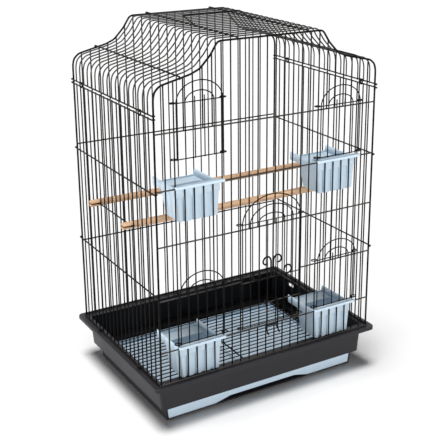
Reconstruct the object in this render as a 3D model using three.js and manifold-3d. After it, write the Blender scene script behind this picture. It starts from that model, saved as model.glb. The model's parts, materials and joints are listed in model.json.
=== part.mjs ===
// A wire bird cage on a plastic base, in millimetres. X runs along the long front, Y goes
// from the front to the back, and Z is up. The origin is on the floor, under the middle of
// the cage's own box. The wire body has a front and a back panel with an arched top edge,
// two end panels and a roof panel that follows the arch. Four feeder doors and a main door
// slide up on the front bars, a cup hangs in each feeder doorway, and a tray slides out of
// the base.
import * as THREE from 'three';
import { mergeVertices } from 'three/addons/utils/BufferGeometryUtils.js';
import Module from 'manifold-3d';

const wasm = await Module();
wasm.setup();

// Wire sizes. A radius is to the corners of the wire's many-sided section.
const barRadius = 1.2;
const railRadius = 1.3;
const frameRadius = 1.7;
const doorRadius = 1.0;
const weldDepth = 0.4;
const barSides = 4;
const railSides = 6;
const clearance = 0.3;

// Bars and panels. The front and the back have one pitch, the two ends another.
const frontPitch = 17.2;
const frontGaps = 25;
const endPitch = 16.8;
const endGaps = 19;
const bodyLength = frontPitch * frontGaps;
const bodyWidth = endPitch * endGaps;
const halfLength = bodyLength / 2;
const halfWidth = bodyWidth / 2;

// Heights of the base and of the rails, counted up from the floor
const rimTop = 87;
const firstRail = 147;
const rowHeight = 93.5;
const secondRail = firstRail + rowHeight;
const thirdRail = secondRail + rowHeight;
const fourthRail = thirdRail + rowHeight;
const fifthRail = fourthRail + rowHeight;
const footRail = rimTop + clearance + railRadius;
const endLowLift = 8;
const endHighDrop = 3.5;
const backLowLift = 0.5;
const backHighLift = 2.5;
const wallTopLift = 24;
const roofFootLift = 30;
const endLowRail = secondRail + endLowLift;
const endHighRail = fourthRail - endHighDrop;
const backLowRail = secondRail + backLowLift;
const backHighRail = fourthRail + backHighLift;
const wallTopRail = fifthRail + wallTopLift;
const roofFootRail = fifthRail + roofFootLift;

// Half of the arched top edge, from the corner post to the middle: distance in from the
// post and height above the fifth rail
const archShape = [
	[ 0, 55.5 ],
	[ 2.7, 66.5 ],
	[ 12, 74.8 ],
	[ 65, 87.1 ],
	[ 82, 94.2 ],
	[ 101, 113.8 ],
	[ 113, 132.3 ],
	[ 117.5, 134.5 ],
];
const archProfile = archShape.map( ( [ inset, rise ] ) => [
	halfLength - inset,
	fifthRail + rise,
] );

// Planes across the cage: rails lie outside the bars that they are welded to, and an end
// panel's rails pass outside the corner posts
const railStep = barRadius + railRadius - weldDepth;
const endRailPlane = halfLength + frameRadius + clearance + railRadius;
const endBarPlane = endRailPlane - railStep;
const archOffset = endBarPlane - halfLength;
const hookReach = frameRadius + clearance + railRadius;
const hookLength = 5;
const hookBend = 1.4;

// Doorways, counted in bars from the left
const feederBars = [ 2, 7 ];
const mainBars = [ 9, 16 ];

const black = new THREE.Color( 0x17171a );
const basePlastic = new THREE.Color( 0x37363a );
const paleBlue = new THREE.Color( 0xc9dbe9 );
const wood = new THREE.Color( 0xcfa275 );

function wireMaterial() {
	return new THREE.MeshStandardMaterial( { color: black, roughness: 0.35, metalness: 0.6 } );
}

function plasticMaterial( color, roughness ) {
	return new THREE.MeshStandardMaterial( { color, roughness, metalness: 0 } );
}

// Turns a geometry into a solid that can be joined or cut
function solid( geometry ) {
	geometry.deleteAttribute( 'normal' );
	geometry.deleteAttribute( 'uv' );
	const merged = mergeVertices( geometry, 1e-4 );
	return new wasm.Manifold( new wasm.Mesh( {
		numProp: 3,
		vertProperties: new Float32Array( merged.attributes.position.array ),
		triVerts: new Uint32Array( merged.index.array ),
	} ) );
}

// Joins a list of solids, in pairs, into one
function fuse( solids ) {
	let row = solids;
	while ( row.length > 1 ) {
		const next = [];
		for ( let i = 0; i < row.length; i += 2 ) {
			next.push( i + 1 < row.length ? row[ i ].add( row[ i + 1 ] ) : row[ i ] );
		}
		row = next;
	}
	return row[ 0 ];
}

function toGeometry( manifold ) {
	const data = manifold.getMesh();
	const geometry = new THREE.BufferGeometry();
	geometry.setAttribute( 'position', new THREE.BufferAttribute( data.vertProperties, 3 ) );
	geometry.setIndex( new THREE.BufferAttribute( data.triVerts, 1 ) );
	geometry.computeVertexNormals();
	return geometry;
}

function piece( name, manifold, material ) {
	const mesh = new THREE.Mesh( toGeometry( manifold ), material );
	mesh.name = name;
	return mesh;
}

// The section of a wire, with one corner on the Y axis unless it is turned
function section( radius, sides, turn = 0 ) {
	const points = [];
	for ( let i = 0; i < sides; i ++ ) {
		const angle = turn + i / sides * Math.PI * 2;
		points.push( new THREE.Vector2( radius * Math.sin( - angle ), radius * Math.cos( angle ) ) );
	}
	return new THREE.Shape( points );
}

// A straight wire with one corner of its section toward the given direction
function wire( from, to, radius, facing, sides ) {
	const start = new THREE.Vector3( ...from );
	const along = new THREE.Vector3( ...to ).sub( start );
	const options = { depth: along.length(), bevelEnabled: false };
	const geometry = new THREE.ExtrudeGeometry( section( radius, sides ), options );
	const axis = along.normalize();
	const front = new THREE.Vector3( ...facing ).normalize();
	const side = new THREE.Vector3().crossVectors( front, axis );
	const basis = new THREE.Matrix4().makeBasis( side, front, axis ).setPosition( start );
	return solid( geometry.applyMatrix4( basis ) );
}

// A line through given corners, whose direction at a corner halves the bend
class BentLine extends THREE.Curve {

	constructor( corners ) {
		super();
		this.corners = corners;
	}

	getPoint( share, target = new THREE.Vector3() ) {
		const place = share * ( this.corners.length - 1 );
		const index = Math.min( Math.floor( place ), this.corners.length - 2 );
		const [ a, b ] = this.corners.slice( index, index + 2 );
		return target.lerpVectors( a, b, place - index );
	}

	getPointAt( share, target ) {
		return this.getPoint( share, target );
	}

	getSpacedPoints( divisions ) {
		return this.getPoints( divisions );
	}

	getTangentAt( share, target = new THREE.Vector3() ) {
		const last = this.corners.length - 1;
		const index = Math.round( share * last );
		const before = new THREE.Vector3();
		const after = new THREE.Vector3();
		if ( index > 0 ) {
			before.subVectors( this.corners[ index ], this.corners[ index - 1 ] ).normalize();
		}
		if ( index < last ) {
			after.subVectors( this.corners[ index + 1 ], this.corners[ index ] ).normalize();
		}
		return target.addVectors( before, after ).normalize();
	}

}

// A wire bent through given points
function bentWire( points, radius, sides, turn = 0 ) {
	const corners = points.map( ( point ) => new THREE.Vector3( ...point ) );
	const options = {
		steps: corners.length - 1,
		bevelEnabled: false,
		extrudePath: new BentLine( corners ),
	};
	return solid( new THREE.ExtrudeGeometry( section( radius, sides, turn ), options ) );
}

// A wire eye: a ring stretched to two half sizes, in the plane across the given axis
function eye( center, halfX, halfY, radius, axis ) {
	const ringRadius = 2 * radius;
	const geometry = new THREE.TorusGeometry( ringRadius, radius, 4, 8 );
	const position = geometry.attributes.position;
	for ( let i = 0; i < position.count; i ++ ) {
		const around = Math.atan2( position.getY( i ), position.getX( i ) );
		const outward = Math.hypot( position.getX( i ), position.getY( i ) ) - ringRadius;
		const x = Math.cos( around ) * ( halfX + outward );
		const y = Math.sin( around ) * ( halfY + outward );
		position.setXY( i, x, y );
	}
	if ( axis === 'x' ) geometry.rotateZ( Math.PI / 2 ).rotateY( Math.PI / 2 );
	return solid( geometry.translate( ...center ) );
}

function box( low, high ) {
	const size = high.map( ( value, i ) => value - low[ i ] );
	const middle = high.map( ( value, i ) => ( value + low[ i ] ) / 2 );
	return solid( new THREE.BoxGeometry( ...size ).translate( ...middle ) );
}

// A block with rounded upright edges whose half sizes change from its foot to its top
function block( foot, top, cornerRadius, middleY = 0 ) {
	const cornerSteps = 4;
	const points = [];
	const corners = [ [ 1, 1 ], [ - 1, 1 ], [ - 1, - 1 ], [ 1, - 1 ] ];
	corners.forEach( ( [ signX, signY ], quarter ) => {
		for ( let i = 0; i <= cornerSteps; i ++ ) {
			const angle = ( quarter + i / cornerSteps ) * Math.PI / 2;
			points.push( new THREE.Vector2(
				signX * ( foot.x - cornerRadius ) + cornerRadius * Math.cos( angle ),
				signY * ( foot.y - cornerRadius ) + cornerRadius * Math.sin( angle ),
			) );
		}
	} );
	const options = { depth: top.z - foot.z, bevelEnabled: false };
	const geometry = new THREE.ExtrudeGeometry( new THREE.Shape( points ), options );
	const position = geometry.attributes.position;
	for ( let i = 0; i < position.count; i ++ ) {
		if ( position.getZ( i ) > options.depth / 2 ) {
			position.setX( i, position.getX( i ) * top.x / foot.x );
			position.setY( i, position.getY( i ) * top.y / foot.y );
		}
	}
	return solid( geometry.translate( 0, middleY, foot.z ) );
}

// Height of the arched top edge at a distance from the middle line
function archHeight( x ) {
	const reach = Math.abs( x );
	for ( let i = 1; i < archProfile.length; i ++ ) {
		const [ outerX, outerZ ] = archProfile[ i - 1 ];
		const [ innerX, innerZ ] = archProfile[ i ];
		if ( reach >= innerX ) {
			return outerZ + ( innerZ - outerZ ) * ( outerX - reach ) / ( outerX - innerX );
		}
	}
	return archProfile.at( - 1 )[ 1 ];
}

// The arched edge as points from the left foot to the right foot, moved outward by a
// distance, in the plane y
function archLine( footZ, outward, y ) {
	const right = [ [ halfLength, footZ ], ...archProfile ];
	const moved = right.map( ( [ x, z ], i ) => {
		const before = right[ Math.max( i - 1, 0 ) ];
		const after = i + 1 < right.length ? right[ i + 1 ] : [ - x, z ];
		const first = new THREE.Vector2( x - before[ 0 ], z - before[ 1 ] ).normalize();
		const second = new THREE.Vector2( after[ 0 ] - x, after[ 1 ] - z ).normalize();
		const middle = new THREE.Vector2().addVectors( first, second ).normalize();
		const stretch = outward / Math.max( middle.dot( second ), 0.5 );
		return [ x + middle.y * stretch, y, z - middle.x * stretch ];
	} );
	const left = moved.map( ( [ x, , z ] ) => [ - x, y, z ] );
	return [ ...left, ...moved.reverse() ];
}

const towardFront = [ 0, - 1, 0 ];
const towardBack = [ 0, 1, 0 ];

function barX( index ) {
	return - halfLength + index * frontPitch;
}

// An upright bar of the front or back panel
function uprightBar( index, low, high ) {
	const x = barX( index );
	return wire( [ x, 0, low ], [ x, 0, high ], barRadius, towardFront, barSides );
}

// A level rail of the front or back panel. It lies outside the bars.
function levelRail( z, from = - halfLength, to = halfLength ) {
	const y = - railStep;
	return wire( [ from, y, z ], [ to, y, z ], railRadius, towardBack, railSides );
}

const barFoot = footRail - railRadius;
const barTuck = railRadius;

function between( index, range ) {
	return index > range[ 0 ] && index < range[ 1 ];
}

function mirrored( range ) {
	return [ frontGaps - range[ 1 ], frontGaps - range[ 0 ] ];
}

// Front panel: heavy outer wire, bars, and rails that leave out the five doorways
function frontPanel() {
	const parts = [ bentWire( archLine( barFoot, 0, 0 ), frameRadius, railSides ) ];
	for ( let i = 1; i < frontGaps; i ++ ) {
		const top = archHeight( barX( i ) ) + weldDepth;
		if ( between( i, feederBars ) || between( i, mirrored( feederBars ) ) ) {
			parts.push( uprightBar( i, barFoot, firstRail + barTuck ) );
			parts.push( uprightBar( i, secondRail - barTuck, fourthRail + barTuck ) );
			parts.push( uprightBar( i, fifthRail - barTuck, top ) );
		} else if ( between( i, mainBars ) ) {
			parts.push( uprightBar( i, barFoot, firstRail + barTuck ) );
			parts.push( uprightBar( i, thirdRail - barTuck, top ) );
		} else {
			parts.push( uprightBar( i, barFoot, top ) );
		}
	}
	for ( const z of [ footRail, firstRail, thirdRail, fourthRail, fifthRail ] ) {
		parts.push( levelRail( z ) );
	}
	parts.push( levelRail( secondRail, - halfLength, barX( mainBars[ 0 ] ) + barTuck ) );
	parts.push( levelRail( secondRail, barX( mainBars[ 1 ] ) - barTuck, halfLength ) );
	return fuse( parts );
}

// Back panel: the same outer wire and bars, with no doorways and two rails
function backPanel() {
	const parts = [ bentWire( archLine( barFoot, 0, 0 ), frameRadius, railSides ) ];
	for ( let i = 1; i < frontGaps; i ++ ) {
		parts.push( uprightBar( i, barFoot, archHeight( barX( i ) ) + weldDepth ) );
	}
	for ( const z of [ footRail, backLowRail, backHighRail ] ) {
		parts.push( levelRail( z ) );
	}
	return fuse( parts );
}

function endBarY( index ) {
	return - halfWidth + index * endPitch;
}

// A rail of an end panel. Its two ends bend inward round the corner posts.
function hookedRail( z ) {
	const end = halfWidth + hookReach;
	const x = endRailPlane;
	const half = [
		[ x - hookLength, - end, z ],
		[ x - hookBend, - end, z ],
		[ x, - end + hookBend, z ],
	];
	const other = half.map( ( [ px, py, pz ] ) => [ px, - py, pz ] ).reverse();
	return bentWire( [ ...half, ...other ], railRadius, railSides );
}

// Perches lie between two end bars, on a short wire across the bars there
const perchGapCount = 5;
const perchZ = 345;
const perchY = endBarY( perchGapCount ) + endPitch / 2;

// The panel at the right end. The left one is the same panel, turned round.
function endPanel() {
	const parts = [];
	for ( let i = 1; i < endGaps; i ++ ) {
		const low = [ endBarPlane, endBarY( i ), barFoot ];
		const high = [ endBarPlane, endBarY( i ), wallTopRail + railRadius ];
		parts.push( wire( low, high, barRadius, [ 1, 0, 0 ], barSides ) );
	}
	for ( const z of [ endLowRail, endHighRail, wallTopRail ] ) {
		parts.push( hookedRail( z ) );
	}
	const foot = [ endRailPlane, halfWidth, footRail ];
	const footEnd = [ endRailPlane, - halfWidth, footRail ];
	parts.push( wire( foot, footEnd, railRadius, [ - 1, 0, 0 ], railSides ) );
	const restX = endBarPlane + 2 * barRadius - weldDepth;
	const rest = [ restX, endBarY( perchGapCount ) - barTuck, perchZ ];
	const restEnd = [ restX, - endBarY( perchGapCount ) + barTuck, perchZ ];
	parts.push( wire( rest, restEnd, barRadius, [ - 1, 0, 0 ], barSides ) );
	return fuse( parts );
}

const shoulderRailX = 169;
const topRailX = 66.5;

// A rail across the roof, outside the long wires, at a distance from the middle line. Its
// two ends bend down over the arched edges of the front and back panels.
function roofRail( x ) {
	const span = 1;
	const slope = ( archHeight( Math.abs( x ) - span ) - archHeight( Math.abs( x ) + span ) ) / 2;
	const normal = new THREE.Vector2( Math.sign( x ) * slope, span ).normalize();
	const lift = archOffset + railStep;
	const centerX = x + normal.x * lift;
	const centerZ = archHeight( x ) + normal.y * lift;
	const end = halfWidth + hookReach;
	const half = [
		[ centerX, - end, centerZ - hookLength ],
		[ centerX, - end, centerZ - hookBend ],
		[ centerX, - end + hookBend, centerZ ],
	];
	const other = half.map( ( [ px, py, pz ] ) => [ px, - py, pz ] ).reverse();
	return bentWire( [ ...half, ...other ], railRadius, railSides, Math.PI / 2 );
}

// Roof panel: long wires that follow the arch, on a foot rail at each end and four rails
// across the top
function roofPanel() {
	const parts = [];
	for ( let i = 1; i < endGaps; i ++ ) {
		const line = archLine( roofFootRail - railRadius, archOffset, endBarY( i ) );
		parts.push( bentWire( line, barRadius, barSides ) );
	}
	for ( const x of [ - shoulderRailX, - topRailX, topRailX, shoulderRailX ] ) {
		parts.push( roofRail( x ) );
	}
	const foot = hookedRail( roofFootRail );
	parts.push( foot, foot.rotate( [ 0, 0, 180 ] ) );
	return fuse( parts );
}

// A band that holds an end panel's top rail to the roof's foot rail
const bandWidth = 8;
const bandThickness = 0.9;
const bandGapCount = 2;

function railBand() {
	const inner = railRadius + clearance;
	const outer = inner + bandThickness;
	const half = ( roofFootRail - wallTopRail ) / 2;
	const loop = ( Path, radius ) => {
		const line = new Path();
		line.absarc( 0, half, radius, 0, Math.PI, false );
		line.absarc( 0, - half, radius, Math.PI, 2 * Math.PI, false );
		line.closePath();
		return line;
	};
	const outline = loop( THREE.Shape, outer );
	outline.holes.push( loop( THREE.Path, inner ) );
	const options = { depth: bandWidth, bevelEnabled: false, curveSegments: 4 };
	const geometry = new THREE.ExtrudeGeometry( outline, options );
	geometry.translate( 0, 0, - bandWidth / 2 ).rotateX( Math.PI / 2 );
	return solid( geometry );
}

// Doors slide on the front panel's bars. A door's bars are in front, its level wires
// behind them, and an eye at each end of a level wire goes round a bar of the panel.
const doorPlane = 6.2;
const doorStep = 2 * doorRadius - weldDepth;
const eyeGap = 1.3;
const eyeHalfY = ( doorPlane - doorStep + barRadius + eyeGap + doorRadius ) / 2;
const eyeHalfX = 5;
const eyeShift = 2.2;
const doorTail = 1.2;

// A door wire that goes up, over in a half oval and down again
function archedWire( half, height, rise ) {
	const steps = 8;
	const points = [ [ - half, 0, - doorTail ] ];
	for ( let i = 0; i <= steps; i ++ ) {
		const angle = Math.PI * ( 1 - i / steps );
		points.push( [ half * Math.cos( angle ), 0, height + rise * Math.sin( angle ) ] );
	}
	points.push( [ half, 0, - doorTail ] );
	return bentWire( points, doorRadius, barSides );
}

function doorWire( half, z, eyes ) {
	const y = doorStep;
	const parts = [ wire( [ - half, y, z ], [ half, y, z ], doorRadius, towardFront, barSides ) ];
	if ( eyes ) {
		for ( const side of [ - 1, 1 ] ) {
			const center = [ side * half, y + eyeHalfY, z ];
			parts.push( eye( center, eyeHalfX, eyeHalfY, doorRadius, 'z' ) );
		}
	}
	return parts;
}

function doorBar( x, top ) {
	return wire( [ x, 0, - doorTail ], [ x, 0, top ], doorRadius, towardBack, barSides );
}

const feederPlay = 3;
const feederHeight = rowHeight - feederPlay;
const feederHalf = frontPitch * 2.5;
const doorInset = 1.6;
const feederRise = 33;
const feederInnerRise = 17;
const feederStub = 9;
const feederLift = 9;
const feederRaised = 39.5;

function feederDoor() {
	const half = feederHalf + eyeShift;
	return fuse( [
		...doorWire( half, 0, true ),
		...doorWire( half, feederHeight, true ),
		archedWire( feederHalf - doorInset, feederHeight, feederRise ),
		archedWire( feederHalf - frontPitch, feederHeight, feederInnerRise ),
		doorBar( - frontPitch / 2, feederHeight + feederStub ),
		doorBar( frontPitch / 2, feederHeight + feederStub ),
	] );
}

const mainLift = 6;
const mainCover = 3.5;
const mainHeight = 2 * rowHeight + mainCover;
const mainHalf = frontPitch * 3.5;
const mainRises = [ 46, 28, 12.5 ];
const mainShift = - 1.2;
const scrollWireZ = 84.6;
const latchWireZ = 38.7;

// One half of the scroll on the main door: an upper curl, a stem, a run along the wire
// and an outer curl, as distances from the middle line and above the wire
const scrollHalf = [
	[ 9.5, 27 ],
	[ 14, 26.3 ],
	[ 17.8, 28.6 ],
	[ 19, 33.5 ],
	[ 15.8, 39 ],
	[ 9.5, 41 ],
	[ 4.5, 38 ],
	[ 2.45, 32 ],
	[ 2.45, 4 ],
	[ 4.5, 1.6 ],
	[ 34, 1.6 ],
	[ 38.6, 4 ],
	[ 40.2, 9 ],
	[ 37.8, 14.6 ],
	[ 32.5, 17.6 ],
	[ 27, 15.8 ],
	[ 24.2, 11.5 ],
	[ 25.2, 7.5 ],
];

function mainDoor() {
	const level = [
		...doorWire( mainHalf + eyeShift, 0, true ),
		...doorWire( mainHalf + eyeShift, mainHeight, true ),
		...doorWire( mainHalf + doorTail, scrollWireZ, false ),
		...doorWire( mainHalf + doorTail, latchWireZ, false ),
	];
	const upright = [
		doorBar( - frontPitch / 2, mainHeight + doorTail ),
		doorBar( frontPitch / 2, mainHeight + doorTail ),
	];
	mainRises.forEach( ( rise, i ) => {
		const half = mainHalf - ( i > 0 ? i * frontPitch : doorInset );
		upright.push( archedWire( half, mainHeight, rise ) );
	} );
	for ( const side of [ - 1, 1 ] ) {
		const points = scrollHalf.map( ( [ x, z ] ) => [ side * x, - doorStep, scrollWireZ + z ] );
		upright.push( bentWire( points, doorRadius, barSides ) );
	}
	return fuse( [ ...level, ...upright.map( ( bar ) => bar.translate( [ mainShift, 0, 0 ] ) ) ] );
}

// Wire latch on the main door: two legs that hang on the latch wire by an eye each, a
// bar that joins them, and a foot under each leg that reaches out as a finger grip. Its
// own origin is the latch wire.
const latchHalf = 11.3;
const latchEye = 2.5;
const latchPlane = - 4.6;
const latchKnee = - 9;
const latchBarZ = - 42.7;
const latchFootZ = - 52;
const latchFootIn = 4.6;
const latchFootOut = 6.8;
const latchFootSlope = 0.84;

function doorLatch() {
	const parts = [];
	for ( const side of [ - 1, 1 ] ) {
		const x = side * latchHalf;
		parts.push( eye( [ x, 0, 0 ], latchEye, latchEye, doorRadius, 'x' ) );
		parts.push( bentWire( [
			[ x, - latchEye, 0 ],
			[ x, latchPlane, latchKnee ],
			[ x, latchPlane, latchFootZ ],
		], doorRadius, barSides ) );
		parts.push( bentWire( [
			[ x, latchPlane + latchFootIn, latchFootZ + latchFootIn * latchFootSlope ],
			[ x, latchPlane, latchFootZ ],
			[ x, latchPlane - latchFootOut, latchFootZ - latchFootOut * latchFootSlope ],
		], doorRadius, barSides ) );
	}
	const low = [ - latchHalf, latchPlane, latchBarZ ];
	const high = [ latchHalf, latchPlane, latchBarZ ];
	parts.push( wire( low, high, doorRadius, towardFront, barSides ) );
	return fuse( parts );
}

// Carry handle. Its own origin is the roof wire that its two eyes go round.
const handleHalf = 58;
const handleReach = 46;
const handleCorner = 5;
const handleEye = 3;
const handleRest = 14;
const handleWireCount = 9;

function carryHandle() {
	const points = [ [ - handleHalf, handleEye, 0 ] ];
	const cornerSteps = 3;
	for ( const side of [ - 1, 1 ] ) {
		for ( let i = 0; i <= cornerSteps; i ++ ) {
			const share = side < 0 ? i / cornerSteps : 1 - i / cornerSteps;
			const angle = share * Math.PI / 2;
			points.push( [
				side * ( handleHalf - handleCorner + handleCorner * Math.cos( angle ) ),
				handleReach - handleCorner + handleCorner * Math.sin( angle ),
				0,
			] );
		}
	}
	points.push( [ handleHalf, handleEye, 0 ] );
	const parts = [ bentWire( points, railRadius, railSides ) ];
	for ( const side of [ - 1, 1 ] ) {
		parts.push( eye( [ side * handleHalf, 0, 0 ], handleEye, handleEye, railRadius, 'x' ) );
	}
	return fuse( parts );
}

// Feeder cup. Its own origin is on the rail that its lip hangs over, in the plane of the
// bars. A rim band goes round the top, its side walls run on to the back as wings, and
// the tapered body under it has upright flutes.
const cupWall = 2;
const cupLipHalf = 45.2;
const cupLipThickness = 2;
const cupLipReach = 7;
const cupNeckHalf = feederHalf - barRadius - 2 * clearance;
const cupLipDrop = 4.6;
const cupRimTop = - 2;
const cupRimHalf = 40.4;
const cupRimHeight = 15;
const cupRimDepth = 87;
const cupBackDrop = 10.5;
const cupBodyHalf = 38.4;
const cupBodyDepth = 60;
const cupFootHalf = 35.8;
const cupFootDepth = 50;
const cupFoot = - 59;
const cupFront = barRadius + 2 * clearance;
const fluteCount = 4;
const fluteWidth = 7.6;
const fluteDepth = 1.2;

const cupLipZ = railRadius + clearance;

// The cup's body as a block that narrows to its foot, with a flat side toward the bars
function cupBlock( inset, footZ, topZ, flutes ) {
	const half = cupBodyHalf - inset;
	const depth = cupBodyDepth - 2 * inset;
	const outline = [ new THREE.Vector2( - half, 0 ) ];
	for ( let i = 0; i < fluteCount && flutes; i ++ ) {
		const middle = frontPitch * ( i - ( fluteCount - 1 ) / 2 ) - fluteWidth / 2;
		const left = middle - fluteWidth / 2;
		const right = middle + fluteWidth / 2;
		outline.push( new THREE.Vector2( left, 0 ) );
		outline.push( new THREE.Vector2( left + fluteDepth, fluteDepth ) );
		outline.push( new THREE.Vector2( right - fluteDepth, fluteDepth ) );
		outline.push( new THREE.Vector2( right, 0 ) );
	}
	outline.push( new THREE.Vector2( half, 0 ) );
	outline.push( new THREE.Vector2( half, depth ) );
	outline.push( new THREE.Vector2( - half, depth ) );
	const options = { depth: topZ - footZ, bevelEnabled: false };
	const geometry = new THREE.ExtrudeGeometry( new THREE.Shape( outline ), options );
	const position = geometry.attributes.position;
	const shareX = cupFootHalf / cupBodyHalf;
	const shareY = cupFootDepth / cupBodyDepth;
	for ( let i = 0; i < position.count; i ++ ) {
		if ( position.getZ( i ) < options.depth / 2 ) {
			position.setX( i, position.getX( i ) * shareX );
			position.setY( i, position.getY( i ) * shareY );
		}
	}
	return solid( geometry.translate( 0, cupFront + inset, footZ ) );
}

function feederCup() {
	const top = cupLipZ + cupLipThickness;
	const bandFoot = cupRimTop - cupRimHeight;
	const back = cupFront + cupRimDepth;
	const rim = box( [ - cupRimHalf, cupFront, bandFoot ], [ cupRimHalf, back, cupRimTop ] );
	const riser = box(
		[ - cupNeckHalf, cupFront, cupRimTop - cupWall ],
		[ cupNeckHalf, cupFront + cupWall, top ],
	);
	const neck = box( [ - cupNeckHalf, - cupLipReach, cupLipZ ], [ cupNeckHalf, cupFront + cupWall, top ] );
	const lip = box( [ - cupLipHalf, - cupLipReach, cupLipZ ], [ cupLipHalf, - cupFront, top ] );
	const fold = box(
		[ - cupLipHalf, - cupLipReach, top - cupLipDrop ],
		[ cupLipHalf, - cupLipReach + cupWall, top ],
	);
	const body = cupBlock( 0, cupFoot, bandFoot + cupWall, true );
	const outside = fuse( [ rim, riser, neck, lip, fold, body ] );
	const shelf = box(
		[ - cupRimHalf + cupWall, cupFront + cupWall + fluteDepth, bandFoot + cupWall ],
		[ cupRimHalf - cupWall, back - cupWall, top + cupWall ],
	);
	const backCut = box(
		[ - cupRimHalf + cupWall, back - 2 * cupWall, cupRimTop - cupBackDrop ],
		[ cupRimHalf - cupWall, back + cupWall, top + cupWall ],
	);
	const hollow = cupBlock( cupWall + fluteDepth / 2, cupFoot + cupWall, top, false );
	return outside.subtract( shelf ).subtract( backCut ).subtract( hollow );
}

// Perch: a dowel with a saw cut in each end, for the wire that it rests on
const perchRadius = 6.3;
const perchOverhang = 18;
const perchSides = 14;
const kerfDepth = 20;

function perch() {
	const length = bodyLength + 2 * perchOverhang;
	const rod = new THREE.CylinderGeometry( perchRadius, perchRadius, length, perchSides );
	let dowel = solid( rod.rotateZ( Math.PI / 2 ) );
	const kerfHalf = barRadius + clearance;
	for ( const side of [ - 1, 1 ] ) {
		const inner = side * ( length / 2 - kerfDepth );
		const outer = side * ( length / 2 + clearance );
		const low = [ Math.min( inner, outer ), - 2 * perchRadius, - kerfHalf ];
		const high = [ Math.max( inner, outer ), 2 * perchRadius, kerfHalf ];
		dowel = dowel.subtract( box( low, high ) );
	}
	return dowel;
}

// Base. The wire body stands on the rim of an upper tub, and the tray slides in a lower
// box that stands on four feet.
const rimMarginX = 14;
const rimMarginY = 11.4;
const rimHalfX = halfLength + rimMarginX;
const rimHalfY = halfWidth + rimMarginY;
const rimThickness = 3;
const rimSkirt = 7;
const rimEdge = 2.5;
const rimCorner = 5;
const baseWall = 3;
const tubFoot = 32;
const rimReachX = 15;
const rimReachY = 20;
const tubLeanX = 5;
const tubLeanY = 1;
const tubTopX = rimHalfX - rimReachX;
const tubTopY = rimHalfY - rimReachY;
const tubFootX = tubTopX - tubLeanX;
const tubFootY = tubTopY - tubLeanY;
const tubCorner = 6;
const footHeight = 4;
const footHalfX = 10;
const footHalfY = 7;
const boxInsetX = 10;
const boxInsetY = 10.5;
const boxLeanX = 3.5;
const boxLeanY = 1.5;
const boxTopX = tubFootX - boxInsetX;
const boxTopY = tubFootY - boxInsetY;
const boxFootX = boxTopX - boxLeanX;
const boxFootY = boxTopY - boxLeanY;
const footInsetX = 15.5;
const footInsetY = 16;
const footAtX = boxFootX - footInsetX;
const footAtY = boxFootY - footInsetY;
const boxCorner = 5;
const ledgeWidth = 13;
const windowY = 84;
const windowHalf = 11;
const windowLow = 73;
const windowHigh = 82;

function baseTub() {
	const rimLow = rimTop - rimSkirt;
	const rimPlate = rimTop - rimThickness;
	const rim = block(
		{ x: rimHalfX, y: rimHalfY, z: rimLow },
		{ x: rimHalfX, y: rimHalfY, z: rimTop },
		rimCorner,
	).subtract( block(
		{ x: rimHalfX - rimEdge, y: rimHalfY - rimEdge, z: rimLow - rimEdge },
		{ x: rimHalfX - rimEdge, y: rimHalfY - rimEdge, z: rimPlate },
		rimCorner - rimEdge,
	) );
	const tub = block(
		{ x: tubFootX, y: tubFootY, z: tubFoot },
		{ x: tubTopX, y: tubTopY, z: rimPlate + rimThickness / 2 },
		tubCorner,
	);
	const lower = block(
		{ x: boxFootX, y: boxFootY, z: footHeight },
		{ x: boxTopX, y: boxTopY, z: tubFoot + baseWall / 2 },
		boxCorner,
	);
	let base = rim.add( tub ).add( lower );
	for ( const sideX of [ - 1, 1 ] ) {
		for ( const sideY of [ - 1, 1 ] ) {
			const x = sideX * footAtX;
			const y = sideY * footAtY;
			base = base.add( box(
				[ x - footHalfX, y - footHalfY, 0 ],
				[ x + footHalfX, y + footHalfY, footHeight + baseWall / 2 ],
			) );
		}
	}
	const tubHollow = block(
		{ x: tubFootX - baseWall, y: tubFootY - baseWall, z: tubFoot + baseWall },
		{ x: tubTopX - baseWall, y: tubTopY - baseWall, z: rimTop + baseWall },
		tubCorner - baseWall,
	);
	const ledge = {
		x: tubFootX - baseWall - ledgeWidth,
		y: tubFootY - baseWall - ledgeWidth,
	};
	const ledgeHole = block(
		{ ...ledge, z: tubFoot - baseWall },
		{ ...ledge, z: tubFoot + 2 * baseWall },
		boxCorner - baseWall,
	);
	const trayMouth = block(
		{ x: boxFootX - baseWall, y: boxFootY, z: footHeight + baseWall },
		{ x: boxTopX - baseWall, y: boxTopY, z: tubFoot },
		baseWall,
		- baseWall,
	);
	base = base.subtract( tubHollow ).subtract( ledgeHole ).subtract( trayMouth );
	for ( const sideX of [ - 1, 1 ] ) {
		for ( const y of [ - windowY, windowY ] ) {
			const low = sideX < 0 ? - tubTopX - baseWall : tubFootX - 2 * baseWall;
			const high = sideX < 0 ? - tubFootX + 2 * baseWall : tubTopX + baseWall;
			base = base.subtract( box(
				[ low, y - windowHalf, windowLow ],
				[ high, y + windowHalf, windowHigh ],
			) );
		}
	}
	return base;
}

// Clip on the rim of the base that holds an end panel's foot rail down
const clipHalf = 5.5;
const clipThickness = 2;
const clipLip = 6;

function rimClip() {
	const outer = endRailPlane + railRadius + clearance;
	const top = footRail + railRadius + clearance;
	const post = box(
		[ outer, - clipHalf, rimTop + clearance ],
		[ outer + clipThickness, clipHalf, top + clipThickness ],
	);
	const lip = box(
		[ outer + clipThickness - clipLip, - clipHalf, top ],
		[ outer + clipThickness, clipHalf, top + clipThickness ],
	);
	return post.add( lip );
}

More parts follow.
